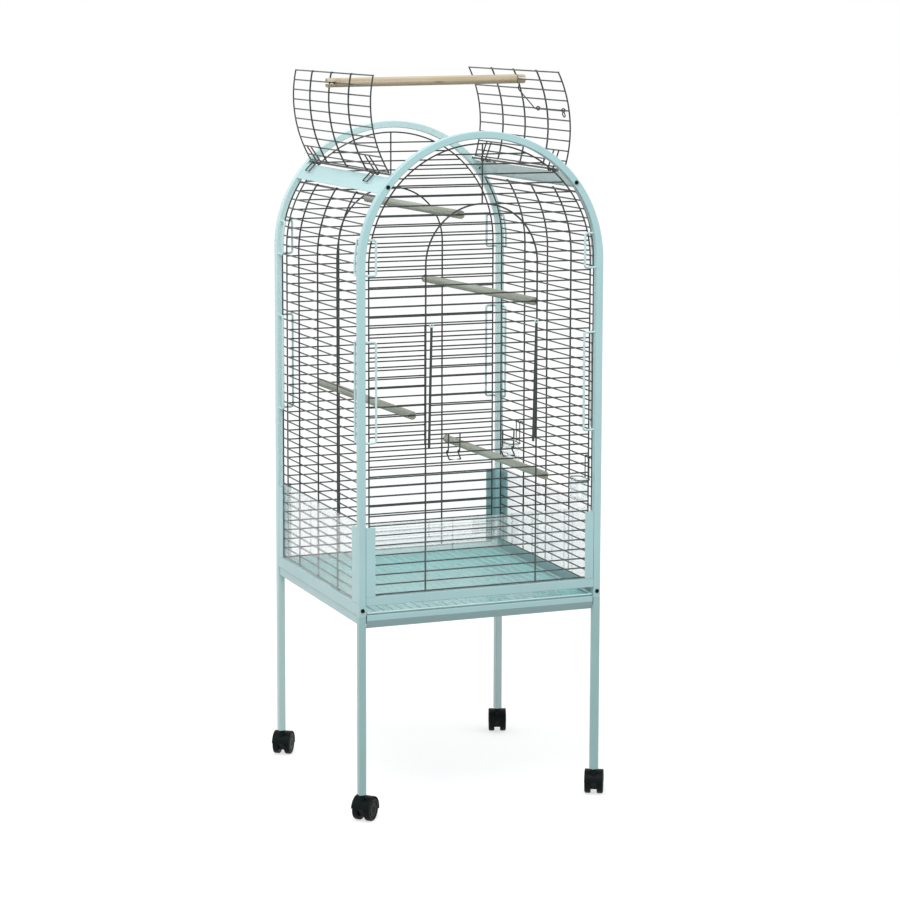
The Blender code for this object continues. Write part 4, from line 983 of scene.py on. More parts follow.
@dataclass
class SheetWork:
    """The rails, corner plates and splash guards."""

    cage: Cage
    rail_depth: float = 0.0148
    lip: float = 0.0120
    step_drop: float = 0.0250
    step: float = 0.0022
    ledge: float = 0.0280
    front_wing: float = 0.021
    side_wing: float = 0.031
    bend: float = 0.0014
    ease: float = 0.0004
    guard_corner: float = 0.003

    def end_rail(self, end: End) -> None:
        """Builds a boxed rail between two posts.

        Args:
            end: The end that it lies at.
        """
        cage = self.cage
        outline = rounded_box(self.rail_depth, cage.rail_height, self.bend)
        outline += (cage.plate_out + self.rail_depth / 2,
                    cage.rail_tops[end] - cage.rail_height / 2)
        rings = extrude(outline, -cage.between, cage.between,
                        lambda depth, z, x: cage.on_end(end, x, depth, z))
        name = f"{end.word}_rail"
        Surface().add(rings).build(name + "_box", [coat(end)], name, weighted=True)

    def side_rail(self, side: Side) -> None:
        """Builds a folded side rail with its lip, step and ledge.

        Args:
            side: The side that it lies at.
        """
        cage = self.cage
        face = cage.plate_out + cage.sheet / 2
        top = cage.side_rail_top - cage.sheet / 2
        step_z = cage.side_rail_top - self.step_drop
        low = cage.ledge_top - cage.sheet / 2
        line = [(self.lip, top), (face, top), (face, step_z),
                (face + self.step, step_z - self.step), (face + self.step, low),
                (self.ledge, low)]
        rings = extrude(bent_strip(line, cage.sheet, self.bend), -cage.between, cage.between,
                        lambda depth, z, y: cage.on_side(side, y, depth, z))
        name = f"{side.word}_rail"
        Surface().add(rings).build(name + "_sheet", [AQUA], name, weighted=True)

    def corner_plate(self, side: Side, end: End) -> None:
        """Builds the bent plate round a post, its two wings standing on their own rails.

        Args:
            side: The post's side.
            end: The post's end.
        """
        cage = self.cage
        face = cage.half - cage.plate_out - cage.sheet / 2
        inner = cage.between - cage.sheet / 2
        post = cage.half - cage.tube
        surface = Surface()
        for line, rail_top in (
                ([(post - self.front_wing, face), (inner, face), (inner, inner)],
                 cage.rail_tops[end]),
                ([(inner, inner), (face, inner), (face, post - self.side_wing)],
                 cage.side_rail_top)):
            surface.add(extrude(
                bent_strip(line, cage.sheet, self.bend), rail_top + cage.clear, cage.plate_top,
                lambda x, y, z: cage.at(side.value * x, end.value * y, z)))
        name = f"corner_plate_{end.word}_{side.word}"
        surface.build(name + "_sheet", [AQUA], name, weighted=True)

    def guard(self, way: Way, rail_top: float, place: Callable) -> None:
        """Builds a clear splash guard with eased edges.

        Args:
            way: The side or end that it stands at.
            rail_top: The height of the rail under it.
            place: Turns the way, across, depth and height into points.
        """
        cage = self.cage
        low = rail_top + cage.clear
        width, height = 2 * (cage.between - cage.clear - cage.sheet), cage.guard_top - low
        rings = []
        for inset, depth in ((self.ease, cage.guard_out), (0, cage.guard_out + self.ease),
                             (0, cage.guard_in - self.ease), (self.ease, cage.guard_in)):
            outline = rounded_box(width - 2 * inset, height - 2 * inset, self.guard_corner)
            rings.append(place(way, outline[:, 0], depth, outline[:, 1] + low + height / 2))
        name = f"{way.word}_guard"
        Surface().add(np.stack(rings)).build(name + "_sheet", [CLEAR], name, name)

    def build(self) -> None:
        """Builds rails, plates and guards in place of their nodes."""
        cage = self.cage
        for end in End:
            self.end_rail(end)
            self.guard(end, cage.rail_tops[end], cage.on_end)
            for side in Side:
                self.corner_plate(side, end)
        for side in Side:
            self.side_rail(side)
            self.guard(side, cage.side_rail_top, cage.on_side)


@dataclass
class EndGrille:
    """The front or rear grille: arched edge wire, level bars and an inner arch."""

    cage: Cage
    end: End
    door_rows: tuple = ()
    edge_steps: int = 64
    inner_steps: int = 40

    def bars(self) -> Array:
        """Gives the level bars, each from edge wire to edge wire, or past the doorway.

        Returns:
            Their rings.
        """
        cage = self.cage
        first = cage.row_z(self.end)
        crown = cage.spring_z + cage.half - cage.edge_inset
        rows = np.arange(1, int((crown - first - cage.edge_wire) / cage.pitch) + 1)
        z = first + rows * cage.pitch
        right = cage.outline_x(cage.edge_inset, z)
        left = -right
        if self.door_rows:
            gap = (rows > self.door_rows[0]) & (rows < self.door_rows[1])
            inner = np.full(gap.sum(), cage.inner_arch)
            left = np.concatenate([left[~gap], left[gap], inner])
            right = np.concatenate([right[~gap], -inner, right[gap]])
            z = np.concatenate([z[~gap], z[gap], z[gap]])
        return rods(cage.on_end(self.end, left, cage.ladder_layer, z),
                    cage.on_end(self.end, right, cage.ladder_layer, z), cage.bar_wire)

    def build(self) -> None:
        """Builds the grille in place of its node."""
        cage, end, layer = self.cage, self.end, self.cage.ladder_layer
        radius = cage.half - cage.edge_inset
        first = cage.row_z(end)
        x, z = cage.arch(radius, first, self.edge_steps)
        edge = wire(cage.on_end(end, x, layer, z), cage.edge_wire, Y_AXIS, closed=True)
        surface = Surface().add(self.bars()).add(edge, closed=True)
        inner = cage.arch(cage.inner_arch, first + cage.foot_lift, self.inner_steps)
        x, z = (np.pad(line, 1, "edge") for line in inner)
        depth = np.full(len(x), cage.upright_layer)
        depth[[0, -1]] = layer
        surface.add(wire(cage.on_end(end, x, depth, z), cage.upright_wire, X_AXIS,
                         cage.upright_bend))
        if self.door_rows:
            sides = np.array([-cage.inner_arch, cage.inner_arch])
            surface.add(rods(*(cage.on_end(end, sides, layer, cage.row_z(end, row))
                               for row in self.door_rows), cage.edge_wire))
        crown = cage.on_end(end, 0, [cage.upright_layer, cage.upright_layer, layer],
                            cage.spring_z + np.array([cage.inner_arch, radius, radius]))
        surface.add(wire(crown, cage.edge_wire, X_AXIS, cage.upright_bend))
        name = f"{end.word}_grille"
        surface.build(name + "_wires", [BLACK_WIRE], name)


@dataclass
class SideGrille:
    """A side grille that runs from the side rail up and over to the roof strip."""

    cage: Cage
    side: Side
    top_angle: float = math.radians(33.0)
    uprights: int = 3
    steps: int = 18

    def path(self, depth: float, low: float, angle: float) -> Array:
        """Gives x and z up the side and along the roof, some depth inside the outline."""
        radius, turns = self.cage.half - depth, np.linspace(0, angle, self.steps)
        return np.concatenate([[(radius, low)], self.cage.roof(radius, turns)])

    def place(self, flat: Array, y: float) -> Array:
        """Puts rows of x and z at a distance along the side."""
        return self.cage.at(self.side.value * flat[:, 0], y, flat[:, 1])

    def build(self) -> None:
        """Builds the grille in place of its node."""
        cage = self.cage
        radius = cage.half - cage.ladder_layer
        reach = cage.half - cage.edge_inset
        straight = cage.spring_z - cage.side_row_z
        total = straight + radius * self.top_angle
        distance = np.append(np.arange(int(total / cage.pitch) + 1) * cage.pitch, total)
        spots = cage.roof(radius, np.maximum(distance - straight, 0) / radius)
        spots[:, 1] -= np.maximum(straight - distance, 0)
        surface = Surface().add(rods(self.place(spots, -reach), self.place(spots, reach),
                                     cage.bar_wire))
        over = cage.edge_wire / 2
        edge = self.path(cage.ladder_layer, cage.side_row_z - over, self.top_angle + over / radius)
        for y in (-reach, reach):
            surface.add(wire(self.place(edge, y), cage.edge_wire, Y_AXIS))
        low = cage.side_row_z + cage.foot_lift
        line = np.concatenate([[(radius, low)], self.path(cage.upright_layer, low, self.top_angle),
                               [cage.roof(radius, self.top_angle)]])
        for y in np.linspace(-reach, reach, self.uprights + 2)[1:-1]:
            surface.add(wire(self.place(line, y), cage.upright_wire, Y_AXIS, cage.upright_bend))
        name = f"{self.side.word}_grille"
        surface.build(name + "_wires", [BLACK_WIRE], name)


@dataclass
class FrontDoor:
    """The drop-down door: two thick rods, level bars, hinge hooks and rings at the top."""

    cage: Cage
    first_row: int
    last_row: int
    gap: float = 0.0075
    rod: float = 0.0055
    rod_tail: float = 0.007
    ajar: float = math.radians(2.9)
    hooks: tuple = (-0.063, 0.0615)
    hook_room: float = 0.00035
    hook_from: float = math.radians(150)
    hook_to: float = math.radians(-90)
    hook_tail: float = 0.0113
    eye: float = 0.0034

    def place(self, x: object, out: object, up: object) -> Array:
        """Turns the door's own x, depth and height by its opening and hangs it on its wire."""
        hinge_z = self.cage.row_z(End.FRONT, self.first_row - 1)
        return (turned(stacked(x, out, up), 0, self.ajar)
                + self.cage.on_end(End.FRONT, 0, self.cage.ladder_layer, hinge_z))

    def build(self) -> None:
        """Builds the door in place of its node, with its rings as a piece of their own."""
        cage = self.cage
        plane = -(cage.edge_wire / 2 + cage.clear + self.rod / 2)
        top = (self.last_row - self.first_row + 1) * cage.pitch - cage.bar_wire / 2
        reach = cage.inner_arch - self.gap
        sides = np.array([-reach, reach])
        surface = Surface().add(rods(self.place(sides, plane, cage.pitch - self.rod_tail),
                                     self.place(sides, plane, top), self.rod, 20))
        up = np.arange(2, self.last_row - self.first_row + 1) * cage.pitch
        surface.add(rods(self.place(-reach, plane, up), self.place(reach, plane, up),
                         cage.bar_wire))
        wrap = cage.edge_wire / 2 + cage.clear + cage.hook_wire / 2 + self.hook_room
        line = np.concatenate([
            [(plane, 2 * cage.pitch), (plane, cage.pitch / 2)],
            arc(wrap, np.linspace(self.hook_from, self.hook_to, cage.hook_steps)),
            [(-self.hook_tail, -self.hook_tail - cage.hook_wire / 2)]])
        both = np.concatenate([line, line[::-1]])
        for centre in self.hooks:
            x = centre + np.repeat([-1, 1], len(line)) * cage.hook_spread / 2
            surface.add(wire(self.place(x, both[:, 0], both[:, 1]), cage.hook_wire,
                             X_AXIS + cage.hook_skew * Y_AXIS, cage.hook_bend))
        surface.build("front_door_wires", [BLACK_WIRE], "front_door", "front_door")
        rings = Surface()
        ring = circle(self.eye, 24)
        for x in sides:
            path = self.place(x + ring[:, 1], plane, top + self.eye - ring[:, 0])
            rings.add(sweep(path, circle(cage.bar_wire / 2, ROUND), Y_AXIS, True), closed=True)
        rings.build("front_door_rings", [PALE_AQUA], body="front_door")


@dataclass
class Roof:
    """The roof strips with their hinge rods, the two curved flaps and the flap latch."""

    cage: Cage
    strip_radius: float = 0.2775
    strip_from: float = math.radians(33.8)
    strip_to: float = math.radians(42.2)
    tab: float = 0.0016
    tab_depth: float = 0.0105
    tab_corner: float = 0.0012
    nut: float = 0.009
    nut_height: float = 0.004
    bolt_angle: float = math.radians(38.0)
    rod: float = 0.0044
    rows: int = 10
    row_pitch: float = 0.0216
    foot: float = 0.0058
    first_row: float = 0.0201
    inset: float = 0.030
    curved: int = 3
    flap_steps: int = 24
    left_hooks: tuple = (-0.161, 0.215)
    right_hooks: tuple = (-0.1875, 0.1875)
    hook_room: float = 0.0001
    tail: float = 0.025
    latch_wire: float = 0.0026
    latch_room: float = 0.0008
    latch_bend: float = 0.0025
    latch_row: int = 6
    perch_row: int = 9
    latch_front: float = 0.0378
    latch_rear: float = 0.198
    latch_coil: float = 0.020
    latch_ring_y: float = 0.262
    latch_ring: float = 0.0055
    latch_ring_rise: float = 0.044
    latch_hook: float = 0.009

    def hinge(self, side: Side) -> Array:
        """Gives the point on a flap's hinge axis at the middle of the cage."""
        x, z = self.cage.roof(self.cage.hinge_radius, self.cage.hinge_angle)
        return self.cage.at(side.value * x, 0, z)

    @property
    def levels(self) -> Array:
        """How far up a flap its bars lie: the foot bar, then even rows."""
        return np.append(self.foot, self.first_row + self.row_pitch * np.arange(self.rows))

    def row(self, distance: object, lift: float = 0.0) -> Array:
        """Gives x and z on a closed right-hand flap, from its hinge, lifted outward."""
        radius, home = self.cage.hinge_radius, self.cage.hinge_angle
        return self.cage.roof(radius + lift, home + distance / radius) - self.cage.roof(radius,
                                                                                        home)

    def open_point(self, side: Side, flat: Array, y: object) -> Array:
        """Opens rows of x and z of a closed flap and hangs them on its hinge."""
        flat = swung(flat, self.cage.openings[side])
        return stacked(side.value * flat[..., 0], y, flat[..., 1]) + self.hinge(side)

    def hook_line(self) -> Array:
        """Gives the hook of a closed flap: from its second row, round the rod and out.

        Returns:
            Rows of x and z from the hinge.
        """
        cage = self.cage
        wrap = self.rod / 2 + cage.clear + cage.hook_wire / 2 + self.hook_room
        out = np.array([math.cos(cage.hinge_angle), math.sin(cage.hinge_angle)])
        down = np.array([out[1], -out[0]])
        around = arc(wrap, np.linspace(math.pi, 2 * math.pi, cage.hook_steps))
        line = np.concatenate([around[:, :1] * down + around[:, 1:] * out,
                               [wrap * (down + out), (wrap + self.tail) * down + wrap * out]])
        return np.concatenate([self.row(self.levels[2:3]),
                               swung(line, -cage.openings[Side.LEFT])])

    def flap(self, side: Side) -> None:
        """Builds a flap in place of its node.

        Args:
            side: The flap's side.
        """
        cage = self.cage
        reach = cage.half - self.inset
        over = cage.edge_wire / 2
        low, high = self.levels[[0, -1]]
        rows = self.row(self.levels)
        surface = Surface().add(rods(self.open_point(side, rows, -reach),
                                     self.open_point(side, rows, reach), cage.bar_wire))
        edge = self.row(np.linspace(low - over, high + over, self.flap_steps))
        for y in (-reach, reach):
            surface.add(wire(self.open_point(side, edge, y), cage.edge_wire, Y_AXIS))
        line = self.row(np.linspace(low, high, self.flap_steps),
                        over + cage.clear + cage.upright_wire / 2)
        line = np.concatenate([rows[:1], line, rows[-1:]])
        for y in np.linspace(-reach, reach, self.curved + 2)[1:-1]:
            surface.add(wire(self.open_point(side, line, y), cage.upright_wire, Y_AXIS,
                             cage.upright_bend))
        hook = self.hook_line()
        for centre in self.left_hooks if side is Side.LEFT else self.right_hooks:
            y = centre + np.repeat([-1, 1], len(hook)) * cage.hook_spread / 2
            path = self.open_point(side, np.concatenate([hook, hook[::-1]]), y)
            surface.add(wire(path, cage.hook_wire, Y_AXIS + cage.hook_skew * X_AXIS,
                             cage.hook_bend))
        name = f"{side.word}_flap"
        surface.build(name + "_wires", [BLACK_WIRE], name, name)

    def strip(self, side: Side) -> None:
        """Builds a roof strip, its end tabs and nuts, and the rod that the flap turns on.

        Args:
            side: The strip's side.
        """
        cage, reach = self.cage, self.cage.between
        outline = bent_strip(cage.roof(self.strip_radius - cage.sheet / 2,
                                       np.linspace(self.strip_from, self.strip_to, 10)),
                             cage.sheet, 1 * MM, 1)

        def place(a: Array, b: Array, c: Array) -> Array:
            """Gives points from x and z on the right half of the roof, and y."""
            return cage.at(side.value * a, c, b)

        surface = Surface().add(extrude(outline, -reach, reach, place))
        deep = self.strip_radius - self.tab_depth
        edge = self.rod / 2 + cage.sheet / 2
        turn, out = edge / cage.hinge_radius, cage.hinge_radius + edge
        tab = cage.roof(
            np.array([deep, self.strip_radius, self.strip_radius, out, out, deep]),
            np.array([self.strip_from + turn / 2] * 2 + [self.strip_to - turn / 2]
                     + [cage.hinge_angle - turn] + [cage.hinge_angle + turn] * 2))
        tab = bend_path(tab, self.tab_corner, 3, closed=True)
        nut_x, nut_z = cage.roof(cage.post, self.bolt_angle)
        for end in End:
            tip = end.value * reach
            surface.add(extrude(tab, tip - end.value * self.tab, tip, place))
            start = cage.at(side.value * nut_x, tip - end.value * self.tab / 2, nut_z)
            surface.add(rods(start, start - end.value * self.nut_height * Y_AXIS, self.nut, 6))
        name = f"{side.word}_roof_strip"
        surface.build(name + "_sheet", [coat(side)], name, weighted=True)
        tip = (reach - self.tab / 2) * Y_AXIS
        hinge = self.hinge(side)
        Surface().add(rods(hinge - tip, hinge + tip, self.rod, 16)).build(
            f"{side.word}_hinge_rod", [BLACK_WIRE])

    def latch(self) -> None:
        """Builds the bent wire latch on its row of the right flap.

        Each coil is (-r cos a, y0 + c a / 2 pi, -r sin a) about the row's wire.
        """
        cage = self.cage
        home, perch = self.open_point(
            Side.RIGHT, self.row(self.levels[[self.latch_row, self.perch_row]]), 0)
        lean = math.atan2(perch[0] - home[0], perch[2] - home[2])
        radius = cage.bar_wire / 2 + cage.clear + self.latch_wire / 2 + self.latch_room
        front, rear = -cage.half + self.latch_front, -cage.half + self.latch_rear
        turn_length = self.latch_wire + 2 * cage.clear
        turns = np.linspace(0, 2 * math.pi, 17)
        hook = np.array([(-0.6, -0.2, -0.2), (-0.6, -0.4, -1.0), (-0.6, 0.5, -1.3),
                         (-0.6, 1.1, -0.6), (0.0, 1.7, 0.0)]) * self.latch_hook
        coils = [stacked(-radius * np.cos(turns), start + turn_length * turns / turns[-1],
                         -radius * np.sin(turns))
                 for start in (front + self.latch_coil, rear - 2 * turn_length)]
        loop = circle(self.latch_ring, 18)[:17]
        ring = stacked(-radius, -cage.half + self.latch_ring_y + loop[:, 1],
                       self.latch_ring_rise - loop[:, 0])
        path = np.concatenate([hook + (-radius, front, 0), *coils,
                               [(-radius, rear + turn_length, 0)], ring])
        rings = wire(path, self.latch_wire, X_AXIS + 0.03 * Z_AXIS, self.latch_bend)
        Surface().add(turned(rings, 1, lean) + home).build(
            "flap_latch_wire", [BLACK_WIRE], "flap_latch", "flap_latch")

    def build(self) -> None:
        """Builds strips, flaps and latch."""
        for side in Side:
            self.strip(side)
            self.flap(side)
        self.latch()


@dataclass
class Perches:
    """The play perch across the flaps and the four perches inside."""

    cage: Cage
    roof: Roof
    size: float = 0.018
    play_size: float = 0.020
    play_tip: float = 0.0155
    play_off_wire: float = 0.0120
    play_kerf: float = 0.0052
    room: float = 0.0005
    ease: float = 0.0006
    sunk: float = 0.0002
    prong_thinner: float = 0.00002
    prong_middle: float = 0.55
    prong_tip: float = 0.9
    kerf_length: float = 0.0043
    inner: tuple = (("perch_top", 38, -0.047, -0.059), ("perch_upper", 29, 0.122, 0.083),
                    ("perch_lower", 18, -0.156, -0.171), ("perch_bottom", 11, 0.150, 0.138))
    play_wood: tuple = ((0.66, 0.575, 0.42), (0.42, 0.325, 0.195))
    # Painted shade: the inside perches take a darker, greener copy of the wood.
    inner_wood: tuple = ((0.50, 0.54, 0.46), (0.31, 0.31, 0.235))
    end_shades: tuple = (0.72, 0.6)
    end_stretch: tuple = (8.0, 90.0, 90.0)

    def prong(self, start: Array, end: Array, size: float, slit: float, up: int) -> Array:
        """Gives the half of a kerfed tip above or below its slit.

        The section is a circle cut by the line b = slit / 2: with h the angle of that cut, its
        points run r (cos a, sin a) for a from h to pi - h, and the chord closes it.

        Args:
            start: The tip's inner end, on the perch's axis.
            end: Its outer end.
            size: The perch's diameter.
            slit: The kerf's width.
            up: 1 for the upper prong, -1 for the lower.

        Returns:
            The prong's rings.
        """
        cut = math.asin(slit / size)
        section = arc(size / 2, np.linspace(cut, math.pi - cut, 15)) * (1, up)
        along = unit(end - start)
        across = unit(np.cross(Z_AXIS, along))
        rise = np.cross(along, across)
        middle = up * size / 2 * self.prong_middle * rise
        ring = section[:, :1] * across + section[:, 1:] * rise - middle
        line = np.stack([start, end - self.ease * along, end])[:, None]
        return line + middle + np.array([1, 1, self.prong_tip])[:, None, None] * ring

    def perch(self, name: str, start: Array, end: Array, size: float, kerf: float, slit: float,
              wood: tuple, body: str = FRAME_BODY) -> None:
        """Builds a perch: a round middle between two kerfed tips.

        Args:
            name: The perch's node.
            start: One end of it.
            end: Its other end.
            size: Its diameter.
            kerf: The length of the kerf at each end.
            slit: The kerf's width.
            wood: The pale and the dark tone of the wood.
            body: The body that carries it.
        """
        along = unit(end - start)
        inner = start + kerf * along, end - kerf * along
        surface = Surface().add(rods(*inner, size, 40), end_mark=1)
        for up in (1, -1):
            for base, tip in zip(inner, (start, end)):
                surface.add(self.prong(base + self.sunk * unit(base - tip), tip,
                                       size - self.prong_thinner, slit, up), end_mark=1)
        run = tuple(start.tolist()), tuple(end.tolist())
        sawn = (shade(tone, share) for tone, share in zip(wood, self.end_shades))
        finishes = [PerchWood(name + "_grain", *run, *wood),
                    PerchWood(name + "_end_grain", *run, *sawn, self.end_stretch)]
        surface.build(name + "_wood", finishes, name, body)

    def build(self) -> None:
        """Builds all perches in place of their nodes."""
        cage, roof = self.cage, self.roof
        row = roof.row(roof.levels[roof.perch_row])
        left, right = (roof.open_point(side, row, -self.play_off_wire) for side in Side)
        tip = self.play_tip * unit(right - left)
        self.perch("play_perch", left - tip, right + tip, self.play_size,
                   self.play_tip + self.play_kerf / 2, self.play_kerf, self.play_wood,
                   "play_perch")
        reach = cage.half - (cage.upright_layer + cage.upright_wire / 2 + cage.clear)
        for name, row, front_x, rear_x in self.inner:
            front_z = cage.row_z(End.FRONT, row)
            rear_row = round((front_z - cage.row_z(End.REAR)) / cage.pitch)
            self.perch(name, cage.at(front_x, -reach, front_z),
                       cage.at(rear_x, reach, cage.row_z(End.REAR, rear_row)), self.size,
                       self.kerf_length, cage.bar_wire + 2 * self.room, self.inner_wood)


@dataclass
class Floor:
    """The sliding tray and the grate over it."""

    cage: Cage
    tray_half: float = 0.262
    wall: float = 0.0010
    height: float = 0.0204
    rim: float = 0.0025
    bend: float = 0.0016
    front: float = 0.010
    rear: float = 0.019
    panel_side_gap: float = 0.0003
    panel_drop: float = 0.0002
    panel_corner: float = 0.0012
    lip_front: float = 0.0014
    lip_slant: float = 0.0063
    lip_turn: float = 0.012
    lip_fall: float = 0.0285
    grate_wire: float = 0.0030
    cross_wire: float = 0.0024
    cross_bend: float = 0.0012
    grate_pitch: float = 0.02076
    bars: int = 26
    grate_front: float = 0.0010
    grate_rear: float = 0.022
    crosses: tuple = (0.008, 0.140, 0.272, 0.404)

    @property
    def top(self) -> float:
        """Height of the tray's rim."""
        return self.cage.ledge_top + self.cage.clear + self.height

    def tray(self) -> None:
        """Builds the folded tray with its slanted front lip in place of its node."""
        cage, top = self.cage, self.top
        wall, edge = self.tray_half - self.wall / 2, top - self.wall / 2
        low = top - self.height + self.wall / 2
        front, rear = -cage.half + self.front, cage.half - self.rear
        out = -cage.half + self.lip_front
        pan = bent_strip([(-wall + self.rim, edge), (-wall, edge), (-wall, low), (wall, low),
                          (wall, edge), (wall - self.rim, edge)], self.wall, self.bend)
        panel = rounded_box(2 * (self.tray_half - self.panel_side_gap),
                            self.height - 2 * self.panel_drop, self.panel_corner)
        panel += (0, top - self.height / 2)
        surface = Surface()
        for outline, near, far in ((pan, front, rear),
                                   (panel, front - self.panel_drop, front + self.wall),
                                   (panel, rear - self.wall, rear)):
            surface.add(extrude(outline, near, far, lambda x, z, y: cage.at(x, y, z)), mark=1)
        lip = bent_strip([(front, edge), (out, edge), (out, top - self.lip_turn),
                          (out + self.lip_slant, top - self.lip_fall)], self.wall, self.bend)
        surface.add(extrude(lip, -self.tray_half, self.tray_half,
                            lambda y, z, x: cage.at(x, y, z)))
        # The pan's inside takes the lighter, painted light copy of the coat.
        surface.build("tray_pan", [AQUA, PAN_LIT_AQUA], "tray", "tray", weighted=True)

    def grate(self) -> None:
        """Builds the floor grate in place of its node."""
        cage = self.cage
        low = self.top + cage.clear + self.cross_wire / 2
        z = self.top + 2 * cage.clear + self.cross_wire + self.grate_wire / 2
        half = self.grate_wire / 2
        ends = np.array([self.grate_front + half - cage.half,
                         cage.half - self.grate_rear - half])
        side = self.grate_pitch * (self.bars - 1) / 2
        x = np.linspace(-side, side, self.bars)
        surface = Surface().add(rods(cage.at(-side - half, ends, z), cage.at(side + half, ends, z),
                                     self.grate_wire))
        surface.add(rods(cage.at(x, ends[0], z), cage.at(x, ends[1], z), self.cross_wire))
        for distance in self.crosses:
            path = cage.at([-side, -side, side, side], distance - cage.half, [z, low, low, z])
            surface.add(wire(path, self.cross_wire, Y_AXIS, self.cross_bend))
        surface.build("floor_grate_wires", [PALE_AQUA], "floor_grate", "floor_grate")

    def build(self) -> None:
        """Builds tray and grate."""
        self.tray()
        self.grate()


@dataclass
class Cups:
    """The clear cups and the wire holders that hang them on the right grille."""

    cage: Cage
    size_x: float = 0.028
    size_y: float = 0.056
    height: float = 0.050
    wall: float = 0.0016
    rim: float = 0.0025
    rim_height: float = 0.0020
    base: float = 0.006
    bend: float = 0.0025
    radius: float = 0.010
    off_panel: float = 0.0062
    hang: float = 0.0440
    ring_wire: float = 0.0024
    ring_bend: float = 0.0016
    spread: float = 0.020
    places: tuple = (("front_cup", 13, 0.044), ("rear_cup", 14, 0.424))

    def outline(self, grow: float, height: float) -> Array:
        """Gives the cup's rounded outline, grown outward, at a height."""
        return at_height(rounded_box(self.size_x + 2 * grow, self.size_y + 2 * grow,
                                     self.radius + grow, 8), height)

    def cup(self) -> Array:
        """Gives the cup: its outline grown by g at height h along a wall profile (g, h).

        Returns:
            Its rings.
        """
        wall, rim, high, deep = self.wall, self.rim, self.rim_height, self.height
        profile = bend_path([(-self.base, wall - deep), (-wall, wall - deep), (-wall, 0), (rim, 0),
                             (rim, -high), (0, -high), (0, -deep), (-self.base, -deep)],
                            self.bend, 4)
        return np.stack([self.outline(grow, height) for grow, height in profile])

    def holder(self, over_z: float, centre: Array) -> Surface:
        """Gives the ring under the cup's rim and its two hooks over the grille's bar.

        Args:
            over_z: The height of the hooks' tops above the rim.
            centre: The middle of the cup's top.

        Returns:
            Their surface.
        """
        cage, half = self.cage, self.ring_wire / 2
        ring_z, grow = -self.rim_height - cage.clear - half, cage.clear + half
        surface = Surface().add(sweep(self.outline(grow, ring_z) + centre, circle(half, 10),
                                      Z_AXIS, closed=True), closed=True)
        to_panel = self.size_x / 2 + self.off_panel
        inner, outer = to_panel - grow, to_panel + cage.edge_wire + grow
        for y in (-self.spread / 2, self.spread / 2):
            hook = stacked([self.size_x / 2 + grow, inner, inner, outer, outer], y,
                           [ring_z, ring_z, over_z, over_z, over_z - 3 * self.ring_wire])
            surface.add(wire(hook + centre, self.ring_wire, Y_AXIS, self.ring_bend))
        return surface

    def build(self) -> None:
        """Builds cups and holders in place of their nodes."""
        cage = self.cage
        inset = cage.ladder_layer + cage.edge_wire / 2 + self.off_panel + self.size_x / 2
        over_z = (self.hang - self.rim_height + cage.bar_wire / 2 + cage.clear
                  + self.ring_wire / 2)
        for name, row, distance in self.places:
            top = cage.side_row_z + row * cage.pitch - self.hang + self.rim_height
            centre = cage.at(cage.half - inset, distance - cage.half, top)
            Surface().add(self.cup() + centre).build(name + "_shell", [CLEAR], name, name, 50.0)
            self.holder(over_z, centre).build(name + "_holder_wires", [BLACK_WIRE],
                                              name + "_holder")


@dataclass
class Bolts:
    """Dome-headed bolts with a hexagonal socket, at the roof and at the leg joints."""

    cage: Cage
    roof: Roof
    size: float = 0.0044
    head: float = 0.0090
    head_height: float = 0.0024
    socket: float = 0.45
    socket_edge: float = 0.0003
    pole: float = 0.00002
    leg_rise: float = 0.014
    leg_length: float = 0.009
    roof_length: float = 0.0222

    def bolt(self, length: float) -> Array:
        """Gives a bolt along +Z, its socket's rings pulled in to a hexagon.

        A socket point at angle a has the radius s cos(30) / cos((a mod 60) - 30).

        Args:
            length: How far its shank reaches under the head.

        Returns:
            Its rings.
        """
        radius, high = self.head / 2, self.head_height
        socket = self.socket * radius
        rings = revolve([(self.pole, -0.45 * high), (socket, -0.45 * high),
                         (socket, -0.93 * high), (socket + self.socket_edge, -0.98 * high),
                         (0.72 * radius, -0.86 * high), (0.9 * radius, -0.6 * high),
                         (radius, -0.3 * high), (radius, 0), (self.size / 2, 0),
                         (self.size / 2, length), (self.pole, length)], 48)
        turns = np.radians(360 * np.arange(48) / 48 % 60 - 30)
        rings[1:3, :, :2] *= (math.cos(math.radians(30)) / np.cos(turns))[:, None]
        return rings

    def build(self) -> None:
        """Builds the eight bolts in place of their nodes."""
        cage = self.cage
        roof_x, roof_z = cage.roof(cage.post, self.roof.bolt_angle)
        for end in End:
            for side in Side:
                for kind, x, z, length in (
                        ("roof_bolt", roof_x, roof_z, self.roof_length),
                        ("leg_bolt", cage.post, cage.leg_top + self.leg_rise, self.leg_length)):
                    name = f"{kind}_{end.word}_{side.word}"
                    rings = turned(self.bolt(length), 0, math.pi / 2 * end.value)
                    centre = cage.at(side.value * x, end.value * (cage.half + cage.clear), z)
                    Surface().add(rings + centre).build(name + "_screw", [BOLT_BLACK], name)


